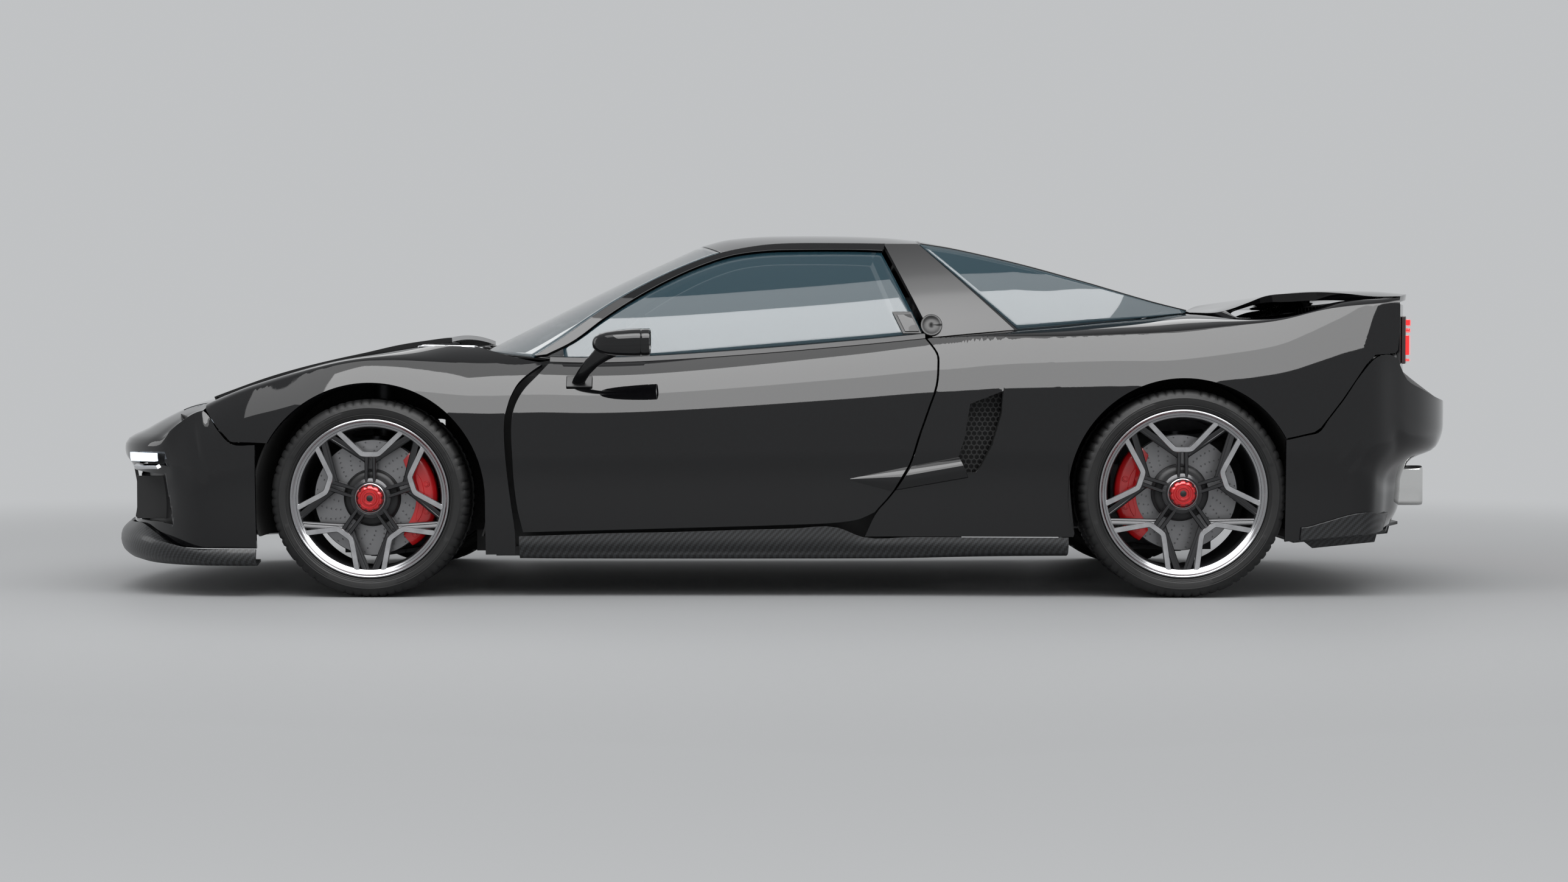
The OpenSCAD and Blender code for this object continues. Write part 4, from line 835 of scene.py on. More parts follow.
FIFTHS = [2 * math.pi * k / 5 for k in range(5)]
for spot in SPOTS:
    tag, h, rim = spot[0], *spot[5:]
    body, name = f"wheel_{tag}", f"rim_{tag}"
    dark = [sweep([(hand * x, y) for x, y in ((12.5, 50), (12.2, 80), (11.5, 108), (11, 132))], bar_section(h),
                  t)
            for t in FIFTHS for hand in (-1, 1)]
    dark += [sweep(flank_line(rim, hand), flank_section(h, hand), t) for t in FIFTHS for hand in (-1, 1)]
    cups = [sweep(cup_line(rim), cup_section(h), t) for t in FIFTHS]
    spokes = put(f"{name}_spokes", bars_mesh(f"{name}_spokes", dark, spot), titanium, body)
    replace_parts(spokes, name)
    put(f"{name}_cups", bars_mesh(f"{name}_cups", cups, spot), machined, body)
    lip = offset(rim, h, [(-1, -15), (0.5, -11), (0.5, -7), (-1, -4.8), (-4, -4),
                          (-6, -5), (-9, -10), (-14, -14),
                          (-20, -16), (-24, -19), (-25, -26), (-22, -26), (-18, -22), (-18, -15)])
    turned(f"{name}_lip", lip, spot, polish, turns=180)
    barrel = offset(rim, h, [(-26, -26), (-30, -44)]) + [(rim - 31, 30)]
    barrel += offset(rim, -h, [(-27, 10), (-24, 8), (-1, 8), (-1, 15), (-18, 15), (-22, 20)])
    turned(f"{name}_barrel", barrel + [(rim - 24, 24), (rim - 22, h - 26)], spot, satin, turns=120)
    boss = offset(0, h, [(33, -52), (60, -52), (63, -44), (63, -30), (60, -27), (52, -25), (50, -26.5),
                         (46, -26.5), (44, -25), (33, -25)])
    turned(f"{name}_boss", boss, spot, titanium)

# ---------- Brake discs, hats and wheel nuts ----------
# Drilled steel discs on dark hats, and one large anodised nut that holds each wheel.
steel = grain(material("disc_steel", (0.22, 0.22, 0.225), 0.38, 1.0), 260.0, 0.00004)
hat_black = grain(material("hat_black", (0.020, 0.020, 0.021), 0.45, 0.4), 400.0, 0.00003)
nut_red = grain(material("nut_red", (0.60, 0.004, 0.008), 0.30, 0.45, coat=1.0), 900.0, 0.00001)
CELL = ((0, 0), (0.5, 0), (1, 0), (1, 0.5), (1, 1), (0.5, 1), (0, 1), (0, 0.5))
HOLE_R = 3.2


def welder(digits):
    """A list of points, and a function that adds a point once and gives its number."""
    verts, seen = [], {}

    def vert(p):
        key = tuple(round(c, digits) for c in p)
        if key not in seen:
            seen[key] = len(verts)
            verts.append(p)
        return seen[key]
    return verts, vert


def disc_mesh(name, spot, columns=48, rings=6, low=99.0, high=180.0):
    """Brake disc whose face carries rows of drilled holes that lean with the radius."""
    step, wide = (high - low) / rings, 2 * math.pi / columns
    verts, vert = welder(3)
    faces = []

    def polar(r, k):
        a = wide * k + 0.006 * (r - low)
        return (r * math.cos(a), r * math.sin(a))

    for i in range(rings):
        for k in range(columns):
            edge = [polar(low + (i + a) * step, k + b) for a, b in CELL]
            ring = [vert((*p, 50)) for p in edge]
            if (i + k) % 2:
                faces.append(tuple(ring))
                continue
            mx, my = polar(low + (i + 0.5) * step, k + 0.5)
            ways = [math.atan2(y - my, x - mx) for x, y in edge]
            hole = [(mx + HOLE_R * math.cos(a), my + HOLE_R * math.sin(a)) for a in ways]
            loops = [ring] + [[vert((*p, z)) for p in hole] for z in (50, 44)]
            faces += bands(loops) + [tuple(loops[-1])]
    outline = [(high, 50), (182, 48), (182, 38), (176, 37), (176, 33), (182, 32),
               (182, 22), (180, 20), (90, 20),
               (90, 50), (low, 50)]
    faces += bands([[vert((*polar(r, k * 0.5), z)) for k in range(2 * columns)] for r, z in outline])
    return solid_mesh(name, wheel_point(*np.array(verts).T, spot), faces, 30)


def grip_flutes(a, r, z):
    return np.where(r > 35, r - 3.2 * np.abs(np.cos(5 * a)) ** 6, r), z


for spot in SPOTS:
    tag, h = spot[0], spot[5]
    disc = put(f"disc_{tag}", disc_mesh(f"disc_{tag}", spot), steel, f"wheel_{tag}")
    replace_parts(disc, f"hub_{tag}")
    front = tag.startswith("front")
    shaft = [(0.5, -78), (30, -78)] if front else [(0.5, -552), (14, -552), (14, -72), (30, -72)]
    hat = shaft + [(30, 14), (80, 14), (89, 20), (89, 50)]
    hat += offset(0, h, [(86, -60), (80, -54), (70, -52), (33, -52), (33, -26), (0.5, -26)])
    turned(f"hat_{tag}", hat, spot, hat_black)
    nut = [(10, -26), (40, -26), (41, -20), (40, -13), (36, -9), (31, -8), (29, -10), (24, -10), (22, -7),
           (18, -6.5), (16, -9), (10, -9)]
    turned(f"nut_{tag}", offset(0, h, nut), spot, nut_red, turns=144, shape=grip_flutes)
    ring = [(42, -26), (47, -26), (46.5, -22), (44.5, -20.5), (42.5, -22)]
    turned(f"nut_ring_{tag}", offset(0, h, ring), spot, polish)
    core = [(0.5, -20), (16, -20), (16, -12), (13, -9.5), (0.5, -9)]
    turned(f"nut_core_{tag}", offset(0, h, core), spot, hat_black, turns=48)

# ---------- Brake calipers ----------
# Cast calipers painted red, in front of the rear discs and behind the front ones, with bolted lugs.
caliper_red = grain(material("caliper_red", (0.72, 0.004, 0.008), 0.34, coat=0.6), 500.0, 0.00003)


def round_axle(a, outline):
    return [(r * math.cos(a), r * math.sin(a), z) for r, z in outline]


def caliper_row(middle, t):
    end = max(1 - min(t, 1 - t) * 6, 0) ** 2
    low, high = 139 + 14 * end, 205 - 8 * end
    return round_axle(math.radians(middle - 50 + 100 * t), [
        (low, 64 - 3 * end), (low + 5, 66 - 3 * end), (high - 22, 66 - 3 * end), (high - 12, 63 - 3 * end),
        (high - 2, 55), (high, 48), (high, 20), (high - 6, 7), (high - 14, 4), (low, 4), (low, 15), (188, 15),
        (188, 54), (low, 54)])


def caliper_lugs(middle):
    """Raised pads and hexagon bolts on the face of a caliper."""
    bars = []
    for deg in (-40, -14, 14, 40):
        (cx, cy, _), = round_axle(math.radians(middle + deg), [(177, 0)])
        for radius, sides, low, high in ((10, 20, 64, 68), (6, 6, 68, 72)):
            bars.append(np.array([[(cx + q * math.cos(2 * math.pi * k / sides),
                                    cy + q * math.sin(2 * math.pi * k / sides), z) for k in range(sides)]
                                  for q, z in ((radius, low), (radius, high - 1.2), (radius * 0.85, high))]))
    pad = []
    for i in range(17):
        soft = 3 * max(abs(i - 8) - 6, 0)
        pad.append(round_axle(math.radians(middle - 27 + 54 * i / 16), [
            (148 + soft, 65), (150 + soft, 68.5), (164 - soft / 2, 68.5), (166 - soft / 2, 65)]))
    return bars + [np.array(pad)]


for spot in SPOTS:
    end, tag = spot[0].split("_")
    node, body, middle = ((f"caliper_{tag}", f"knuckle_{tag}", 0) if end == "front"
                          else ("rear_calipers", "body", 180))
    name, lugs = f"caliper_{end}_{tag}", f"caliper_lugs_{end}_{tag}"
    cast_rows = np.array([caliper_row(middle, k / 40) for k in range(41)])
    piece = put(name, bars_mesh(name, [cast_rows], spot, 40), caliper_red, body)
    round_edges(piece, 0.0012, angle=35)
    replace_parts(piece, node)
    put(lugs, bars_mesh(lugs, caliper_lugs(middle), spot), caliper_red, body)

# ---------- Nose ----------
# One moulded cover wraps the nose from wheel to wheel, with a wide mouth, corner ducts and lamp openings.
# Honeycomb grilles and black trays close the openings behind it.
NOSE_X = [(105, -2150), (190, -2165), (300, -2150), (400, -2166), (425, -2188), (469, -2191)]
NOSE_TOP = [(-2191, 469), (-2034, 473), (-1951, 486), (-1922, 519), (-1887, 546), (-1812, 577), (-1768, 523),
            (-1721, 478), (-1645, 475)]
NOSE_END = -1645
NOSE_TURNS = [0, 4.8, 8.5, 12.8, 19, 25.5, 30, 37, 45, 54, 64, 76, 90]


def plan(deg, power):
    a = math.radians(deg)
    return abs(math.sin(a)) ** (2 / power), abs(math.cos(a)) ** (2 / power)


def nose_face(deg, z):
    out, wide = plan(deg, 2.5)
    x = NOSE_END + (at(NOSE_X, z) - NOSE_END) * out
    y = 908 * wide * (0.965 + 0.035 * min(max((z - 150) / 200, 0), 1))
    return np.array((x, mix(y, side_y(max(x, -1951), z), ease((x + 1951) / 139)), z))


def lip_top(deg):
    return mix(151, 219, ease((deg - 22) / 22))


def nose_row(deg):
    z1 = straight(NOSE_TOP, NOSE_END + (-2191 - NOSE_END) * plan(deg, 2.5)[0])
    z0 = lip_top(deg) + 1
    part = 0.62 if deg < 15 else 1
    row = [nose_face(deg, mix(z0, z1, part * j / 7)) for j in range(8)]
    lip = nose_face(deg, z1)
    back = straight([(0, -1851), (300, -1846), (400, -1842), (600, -1831), (830, -1815)], lip[1]) - SHUT
    high = straight([(0, 629), (300, 622), (600, 609), (830, 584)], lip[1]) - 2
    for t in (0.25, 0.5, 0.75, 1):
        if part < 1:
            row.append(nose_face(deg, mix(z0, z1, mix(part, 1, t))))
        else:
            row.append(np.array((mix(lip[0], back, t), lip[1], mix(lip[2], high, 1 - (1 - t) ** 1.5))))
    return row


def whole(half):
    """The left half and its mirror image as one table, in metres."""
    half = np.array(half, float) / 1000
    return np.concatenate((half, (half * (1, -1, 1))[-2::-1]))


def refine(grid, a, b):
    """A finer table through the same points, along smooth curves both ways."""
    def along(g, k):
        step = np.linalg.norm(np.diff(g, axis=0), axis=-1)[..., None] + 1e-9
        slope = np.diff(g, axis=0) / step
        middle = (slope[:-1] * step[1:] + slope[1:] * step[:-1]) / (step[1:] + step[:-1])
        tilt = np.concatenate((slope[:1], middle, slope[-1:]))
        out = [hermite(g[i], g[i + 1], tilt[i] * step[i], tilt[i + 1] * step[i], j / k)
               for i in range(len(g) - 1) for j in range(k)]
        return np.array(out + [g[-1]])
    return along(along(grid, a).swapaxes(0, 1), b).swapaxes(0, 1)


def sunk(grid, depth):
    return grid - depth / 1000 * normals(grid)


def standing(name, outline, z0, z1):
    """A closed block from an outline in x, y between two heights, in millimetres."""
    return block(name, [[(x, y, z) for x, y in outline] for z in (z0, z1)])


LAMP_PLAN = [(-1940, 545), (-1926, 612), (-1858, 664), (-1850, 604)]


def lamp_block(name, k, hand):
    return standing(name, [(-1893 + k * (x + 1893), hand * (606 + k * (y - 606))) for x, y in LAMP_PLAN], 480,
                    640)


nose = refine(whole([nose_row(a) for a in NOSE_TURNS]), 4, 4)
cover = panel("nose_cover", nose, 0.010, paint, "body", "body_paint", 0)
DUCT = [(-2300, 235), (-2300, 396), (-1947, 381), (-1920, 222), (-1960, 228)]
SLOT = [(-2055, 411), (-2055, 449), (-1942, 446), (-1946, 411)]
carve(cover, [prism("mouth", [(-2300, 235), (-2095, 235), (-2095, 395), (-2300, 395)], -400, 400)]
    + [prism("duct", DUCT, s * 440, s * 940) for s in (-1, 1)]
    + [prism("slot", SLOT, s * 560, s * 960) for s in (-1, 1)]
    + [lamp_block("lamp", 1.0, s) for s in (-1, 1)])
round_edges(cover, 0.0015)
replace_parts(cover, "front_bumper")


def honeycomb(name, place, wide, high, pitch, body, thick=0.006):
    """A black net of six-sided cells; place(x, y, depth) puts its flat points on the car."""
    verts, vert = welder(5)
    faces = []
    size = pitch / math.sqrt(3)
    corners = [(size * math.sin(math.pi * k / 3), size * math.cos(math.pi * k / 3)) for k in range(6)]
    for row in range(int(high / (1.5 * size)) + 1):
        for col in range(int(wide / pitch) + 1):
            cx, cy = (col + 0.5 * (row % 2)) * pitch, row * 1.5 * size
            if cx <= wide and cy <= high:
                faces += bands([[vert(place(cx + scale * x, cy + scale * y, depth)) for x, y in corners]
                                for scale, depth in ((1, 0), (0.78, 0), (0.78, thick))])
    mesh = bpy.data.meshes.new(name)
    mesh.from_pydata(verts, [], faces)
    mesh.update()
    return put(name, mesh, plastic, body)


plastic = grain(material("moulded_black", (0.012, 0.012, 0.0125), 0.42), 1200.0, 0.00003)
net = honeycomb("mouth_net", lambda x, y, d: (-2.112 + d, x - 0.385, 0.246 + y), 0.770, 0.138, 0.022, "body")
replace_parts(net, "grilles")
tray = sunk(nose, 46)
panel("nose_tray", tray[14:84, :32], 0.003, plastic, "body", "black_plastic", 0)


BOX_FACES = ((3, 2, 1, 0), (4, 5, 6, 7), (0, 1, 5, 4), (1, 2, 6, 5), (2, 3, 7, 6), (3, 0, 4, 7))


def fins(name, boxes, mat, body, edge=0.001):
    """Thin flat bars, each from a lowest to a highest corner, in millimetres."""
    verts, faces = [], []
    for (x0, y0, z0), (x1, y1, z1) in boxes:
        faces += [tuple(len(verts) + k for k in f) for f in BOX_FACES]
        verts += [(x / 1000, y / 1000, z / 1000) for z in (z0, z1)
                  for x, y in ((x0, y0), (x1, y0), (x1, y1), (x0, y1))]
    mesh = bpy.data.meshes.new(name)
    mesh.from_pydata(verts, [], faces)
    mesh.update()
    piece = put(name, mesh, mat, body)
    round_edges(piece, edge)
    return piece


fins("mouth_fins", [((-2128, -392, z), (-2096, 392, z + 5)) for z in (282, 330)]
     + [((-2130, s * 130 - 4, 238), (-2096, s * 130 + 4, 392)) for s in (-1, 1)],
     plastic, "body")
fins("duct_fins", [((-2060, s * 690 - 4, 236), (-1965, s * 690 + 4, 372)) for s in (-1, 1)], plastic, "body")

# ---------- Headlamps and daytime bars ----------
# Slim wedge lamps under clear lenses set in the nose, with two round projectors in a dark bowl.
# Under the nose edge a lit white bar over a bright foot sits in each corner.
lens = tinted("clear_lens", (0.55, 0.60, 0.64), 0.55)
glow = material("daytime_white", (0.80, 0.88, 1.0), 0.25, Emission_Color=(0.78, 0.88, 1.0, 1.0),
                Emission_Strength=1.15)
grain(glow, 300.0, 0.0001)
chrome = grain(material("lamp_chrome", (0.70, 0.71, 0.73), 0.10, 1.0), 200.0, 0.00002)
bar, bar_foot = (refine(np.array([[nose_face(a, z) for z in heights] for a in (45, 37, 30)]) / 1000, 10, fine)
                 for heights, fine in (((424, 436, 448), 6), ((408, 413, 418), 4)))
PROJECTORS = ((-1902, 588, 15), (-1876, 618, 13))
PROJECTOR_RINGS = ((1, 0), (1, 7), (0.82, 9), (0.7, 4), (0.35, 6))
for tag, hand, turn in SIDES:
    cover_lens = slab(f"headlamp_lens_{tag}", sunk(nose, 1.5), sunk(nose, 4), lens, "body", "lamp_clear")
    carve(cover_lens, [lamp_block("lamp_in", 0.975, hand)], "INTERSECT")
    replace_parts(cover_lens, "headlamps")
    bowl = slab(f"headlamp_bowl_{tag}", sunk(nose, 16), sunk(nose, 19), hat_black, "body", "lamp_clear")
    carve(bowl, [lamp_block("lamp_bowl", 0.97, hand)], "INTERSECT")
    for part, table, mat in (("lit", bar, glow), ("foot", bar_foot, chrome)):
        line = table if hand > 0 else flip_y(table)
        slab(f"daytime_{part}_{tag}", sunk(line, 11), sunk(line, 25), mat, "body", "lamp_clear", 0.001)
    verts, faces = [], []
    for cx, cy, r in PROJECTORS:
        faces += [tuple(len(verts) + k for k in f) for f in loop_faces(len(PROJECTOR_RINGS), 24)]
        z = straight([(-1940, 570), (-1850, 600)], cx) - 16
        verts += [((cx + r * q * math.cos(math.pi * k / 12)) / 1000,
                   (hand * cy + r * q * math.sin(math.pi * k / 12)) / 1000, (z + lift) / 1000)
                  for q, lift in PROJECTOR_RINGS for k in range(24)]
    put(f"projectors_{tag}", solid_mesh(f"projectors_{tag}", verts, faces), chrome, "body")

# ---------- Front splitter and sills in carbon ----------
# Woven carbon blades under a clear coat: a low lip round the nose and a strip along each sill.


def twill(name, step, axes):
    """Carbon twill: bands of yarn that lie two over and two under, seen through clear coat."""
    mat = material(name, (0.012, 0.012, 0.013), 0.45, 0.25, coat=0.28, coat_rough=0.10)
    tree, surface = mat.node_tree, surface_of(mat)

    def maths(kind, a, b=None):
        node = shader(tree, "Math")
        node.operation = kind
        for k, v in enumerate((a, b)):
            if isinstance(v, (int, float)):
                node.inputs[k].default_value = v
            elif v is not None:
                wire(tree, (v, node.inputs[k]))
        return node.outputs[0]

    where, split = shader(tree, "TexCoord"), shader(tree, "SeparateXYZ")
    wire(tree, (where.outputs["Object"], split.inputs[0]))
    along, up, deep = [maths("MULTIPLY", split.outputs[axis], share / step)
                                     for axis, share in zip(axes, (1, 1, 0.6))]
    across = maths("ADD", up, deep)
    stagger = maths("FLOORED_MODULO", maths("SUBTRACT", maths("FLOOR", along), maths("FLOOR", across)), 4)
    ramp, bump = shader(tree, "ValToRGB"), shader(tree, "Bump", Distance=0.0004)
    ramp.color_ramp.elements[0].color = (0.005, 0.005, 0.0055, 1.0)
    ramp.color_ramp.elements[1].color = (0.028, 0.030, 0.033, 1.0)
    yarn = maths("ABSOLUTE", maths("SUBTRACT", maths("FRACT", along), 0.5))
    wire(tree, (maths("LESS_THAN", stagger, 1.5), ramp.inputs["Fac"]),
         (ramp.outputs["Color"], surface.inputs["Base Color"]), (yarn, bump.inputs["Height"]),
         (bump.outputs[0], surface.inputs["Normal"]))
    return mat


carbon = twill("carbon_twill", 0.005, ("X", "Z", "Y"))


def lip_pt(deg, out, z):
    far, wide = plan(deg, 2.5)
    return (NOSE_END + (-2180 - out - NOSE_END) * far, (900 + out * 0.6) * wide, z)


def lip_row(deg):
    f = ease((deg - 5) / 40)
    return [lip_pt(deg, -150, 106), lip_pt(deg, -8, 106), lip_pt(deg, 20 * f, mix(112, 130, f)),
            lip_pt(deg, 24 * f, mix(140, 187, f)), lip_pt(deg, -8, lip_top(deg))]


splitter = refine(whole([lip_row(a) for a in (0, 8, 16, 25, 34, 44, 56, 72, 90)]), 6, 4)
blade = panel("splitter_blade", splitter, 0.008, carbon, "body", "carbon", 0.0012)
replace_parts(blade, "splitter")
SKIRT_FOOT = [(-826, 190), (-700, 194), (-560, 199), (-355, 203), (-165, 209),
              (23, 214), (168, 217), (244, 188),
              (400, 188), (560, 188), (720, 188), (884, 188)]


def skirt_row(x, top):
    a, b, c = side(x, 142), side(x, 160), side(x, top)
    return [(x, -781, 128), (x, -870, 130), (a[0], a[1] + 4, a[2]), (b[0], b[1] - 5, b[2]), c]


skirt = refine(np.array([skirt_row(x, top) for x, top in SKIRT_FOOT]) / 1000, 4, 4)
for tag, hand, turn in SIDES:
    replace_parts(panel(f"side_skirt_{tag}", turn(skirt), 0.005, carbon, "body", "carbon"), "side_skirts")

# ---------- Rear lid and spoiler ----------
# The rear lid is one blade: a ramp behind the engine hatch that lifts into a wide wing over the tail.
# Under it runs a flat black deck with a riser, so the side shows a long slim opening.
DECK_Z = [(1304, 905), (1401, 903), (1484, 925), (1547, 944), (1693, 965), (1797, 966), (1901, 967),
          (2005, 963), (2047, 955)]
DECK_SIDE = [(1304, 893), (1401, 893), (1484, 915), (1547, 940), (1693, 952), (1797, 952),
             (1931, 940), (2047, 940)]
DECK_Y = [(1304, 590), (1401, 631), (1500, 706), (1600, 764), (1733, 804), (1931, 818), (2047, 818)]
WING_TOP = [1304, 1336, 1366, 1390, 1408, 1430, 1500, 1560, 1640, 1740, 1840, 1942, 2042]
WING_UNDER = [(1310, 888), (1340, 884), (1385, 853), (1500, 850), (1497, 866), (1448, 898),
              (1492, 914), (1560, 925),
              (1640, 932), (1740, 940), (1840, 944), (1942, 944), (2042, 937)]


def tail_bow(x, v):
    return 110 * v * v * abs(v) * (x - 1304) / 738


def wing_pt(i, v):
    x = WING_TOP[i]
    return (x - tail_bow(x, v), v * at(DECK_Y, x), mix(at(DECK_Z, x), at(DECK_SIDE, x), v**4))


def under_pt(i, v):
    (x, z), top = WING_UNDER[i], WING_TOP[i]
    return (x - tail_bow(x, v), v * (at(DECK_Y, x) - 16), z - (at(DECK_Z, top) - at(DECK_SIDE, top)) * v**4)


SPREAD = np.linspace(-1, 1, 41)
wing = np.array([[wing_pt(i, v) for v in SPREAD] for i in range(13)]) / 1000
wing_under = np.array([[under_pt(i, v) for v in SPREAD] for i in range(13)]) / 1000
lid = slab("rear_wing", refine(wing, 5, 1), refine(wing_under, 5, 1), paint, "trunk_lid", "body_paint")
lid.data.set_sharp_from_angle(angle=math.radians(40))
round_edges(lid, 0.0035, 3, 40)
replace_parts(lid, "trunk_lid")
deck = np.array([[(x, v * (at(DECK_Y, x) - 3), 864 - 3 * v * v) for v in np.linspace(-1, 1, 25)]
                 for x in np.linspace(1468, 1905, 24)]) / 1000
panel("deck_floor", deck, 0.010, plastic, "trunk_lid", "body_paint")
fins("deck_riser", [((1893, -700, 858), (1903, 700, 938))]
     + [((1868, y - 3, 860), (1894, y + 3, 930)) for y in range(-650, 651, 65)],
     plastic, "trunk_lid")

# ---------- Tail ----------
# The rear cover wraps round from wheel to wheel and steps in under the lamps.
# The panel behind the lamps is black, and red light pieces stand on it in three bands.
TAIL_X = [(173, 1990), (213, 2015), (260, 2040), (400, 2062), (430, 2120), (460, 2174),
          (514, 2195), (700, 2195)]
TAIL_TOP = [(1556, 491), (1655, 513), (1730, 608), (1805, 714), (1838, 749), (1926, 754),
            (1935, 700), (1968, 668),
            (2092, 619), (2195, 598)]
TAIL_TURNS = [0, 1.4, 3.5, 5.6, 8.1, 12, 16.5, 22, 28, 34, 42, 52, 63, 76, 90]


def tail_face(deg, z):
    far, wide = plan(deg, 2.5)
    x = 1556 + (at(TAIL_X, z) - 1556) * far
    y = 935 * wide * (0.97 + 0.03 * min(max((z - 170) / 200, 0), 1))
    return np.array((x, -mix(y, side_y(min(x, 1926), z), ease((1926 - x) / 130)), z))


def tail_row(deg):
    far = plan(deg, 2.5)[0]
    top = straight(TAIL_TOP, 1556 + 639 * far)
    return [tail_face(deg, mix(mix(175, 215, far), top, j / 8)) for j in range(9)]


tail = refine(whole([tail_row(a) for a in TAIL_TURNS]), 4, 5)
tail_cover = panel("tail_cover", tail, 0.010, paint, "body", "body_paint", 0)
carve(tail_cover, [standing("pipe_gap", [(1900, s * 395), (2200, s * 395), (2200, s * 465), (1900, s * 465)],
                            256, 405) for s in (-1, 1)])
round_edges(tail_cover, 0.002)
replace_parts(tail_cover, "rear_bumper")


def tail_pt(y, z, out=0.0):
    return (1926 + 112 * (1 - (abs(y) / 840) ** 2.4) + out, y, z)


def tail_patch(y0, y1, z0, z1, out, n=12, m=6):
    return np.array([[tail_pt(mix(y0, y1, i / n), mix(z0, z1, j / m), out) for j in range(m + 1)]
                     for i in range(n + 1)]) / 1000


gloss_plastic = grain(material("gloss_tail_black", (0.006, 0.006, 0.007), 0.20, coat=0.7), 700.0, 0.00001)
panel("tail_panel", tail_patch(-829, 829, 700, 915, 0, 80, 16), 0.010, gloss_plastic, "body", "body_paint")
shelf_row = [p for p in tail[:, -1] if p[0] > 1.93]
shelf = np.array([[mix(p - (0.004, 0, 0.004),
                       np.array(tail_pt(min(max(1000 * p[1] * 0.95, -826), 826), 706, -4)) / 1000, u)
                   for u in np.linspace(0, 1, 9)]
                  for p in shelf_row])
panel("tail_shelf", shelf, 0.005, plastic, "body", "black_plastic", 0)
lamp_red = material("lamp_red", (0.55, 0.004, 0.006), 0.16, coat=1.0, Emission_Color=(1.0, 0.012, 0.012, 1.0),
                    Emission_Strength=0.9)
grain(lamp_red, 160.0, 0.0004)
smoked = grain(material("smoked_lens", (0.035, 0.004, 0.005), 0.12, coat=1.0), 300.0, 0.00002)
backing = slab("tail_lamp_body", *[tail_patch(-790, 790, 728, 878, out, 80, 8) for out in (14, 0.5)], smoked,
               "body",
               "lamp_red", 0.003)
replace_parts(backing, "tail_lamps")
cells = []
for hand in (-1, 1):
    cells += [(hand * y, hand * (y + wide), 756, 818)
              for y, wide in ((640, 148), (500, 132), (360, 132), (220, 132))]
    for k in range(8):
        cells += [(hand * (700 - 62 * k), hand * (752 - 62 * k), 828, 840),
                  (hand * (716 - 62 * k), hand * (748 - 62 * k), 850, 868)]
    cells.append((hand * 560, hand * 786, 736, 744))
for k, (y0, y1, z0, z1) in enumerate(cells):
    front, back = [tail_patch(min(y0, y1), max(y0, y1), z0, z1, out) for out in (25, 12)]
    slab(f"red_cell_{k:02d}", front, back, lamp_red, "body", "lamp_red", 0.002)

# ---------- Diffuser, strakes and exhaust ----------
# A carbon floor with five fins rises behind the rear axle, and a carbon strip hangs from each rear corner.
# Two tall polished tail pipes leave a silencer box.
floor_outline = [(1600, -700), (1850, -700), (1930, -630), (1985, -400), (2040, -330), (2040, 330),
                 (1985, 400), (1930, 630),
                 (1850, 700), (1600, 700)]
diffuser = put("diffuser_floor", standing("diffuser_floor", floor_outline, 150, 215), carbon, "body")
slope = prism("diffuser_slope", [(1620, 158), (2030, 198), (2030, 208), (1620, 168)], -705, 705)
carve(diffuser, [slope], "INTERSECT")
diffuser.data.set_sharp_from_angle(angle=math.radians(30))
round_edges(diffuser, 0.0015)
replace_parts(diffuser, "diffuser")
FINS = [(y, (2005, 165), (2015, 204)) for y in (-300, 0,
                                                300)] + [(y, (1900, 155), (1910, 192)) for y in (-600, 600)]
for k, (y, foot, heel) in enumerate(FINS):
    outline = [(1660, 166), (1700, 135), foot, heel]
    fin = put(f"diffuser_fin_{k}", prism(f"diffuser_fin_{k}", outline, y - 4, y + 4), carbon, "body")
    round_edges(fin, 0.0015)
strake = refine(np.array([tail_row(a)[:2] for a in TAIL_TURNS[2:11]]) / 1000, 4, 6)
for tag, hand, turn in SIDES:
    slab(f"strake_{tag}", sunk(turn(strake), -9), sunk(turn(strake), -0.3), carbon, "body", "carbon", 0.002)
pipe = grain(material("polished_pipe", (0.72, 0.72, 0.71), 0.14, 1.0), 90.0, 0.0001)
inside = grain(material("pipe_soot", (0.012, 0.011, 0.010), 0.7), 300.0, 0.0002)


def rounded_box(w, h, r, n=6):
    """Points round a box with round corners."""
    out = []
    for k, (sx, sy) in enumerate(((1, 1), (-1, 1), (-1, -1), (1, -1))):
        for j in range(n + 1):
            a = math.radians(90 * k + 90 * j / n)
            out.append((sx * (w - r) + r * math.cos(a), sy * (h - r) + r * math.sin(a)))
    return out


PIPE = ((1925, 0), (2072, 0), (2083, -0.5), (2087, -2), (2086, -4), (2078, -5.5), (1942, -6))
SILENCER = ((1700, 20), (1712, 4), (1730, 0), (1900, 0), (1918, 4), (1930, 20))
for tag, hand, turn in SIDES:
    tip = loft(f"tail_pipe_{tag}", [[(x, hand * 430 + a, 331 + b) for a, b in
                                     rounded_box(25 + grow, 65 + grow, 16 + grow / 2)] for x, grow in PIPE],
               pipe, "body", ends=False)
    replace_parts(tip, "exhaust")
    loft(f"pipe_end_{tag}", [[(x, hand * 430 + a, 331 + b) for a, b in rounded_box(19, 59, 12)]
                             for x in (1938, 1944)],
         inside, "body")
box_steel = grain(material("silencer_steel", (0.33, 0.32, 0.30), 0.35, 1.0), 120.0, 0.0002)
loft("silencer", [[(x, a, 310 + b) for a, b in rounded_box(470 - g, 70 - g, 50 - g)] for x, g in SILENCER],
     box_steel,
     "body")

# ---------- Scoop blades and side intakes ----------
# A gloss blade crosses the door gap in front of each intake, half on the door and half on the body.
# The intake itself is a black duct closed by a honeycomb net.


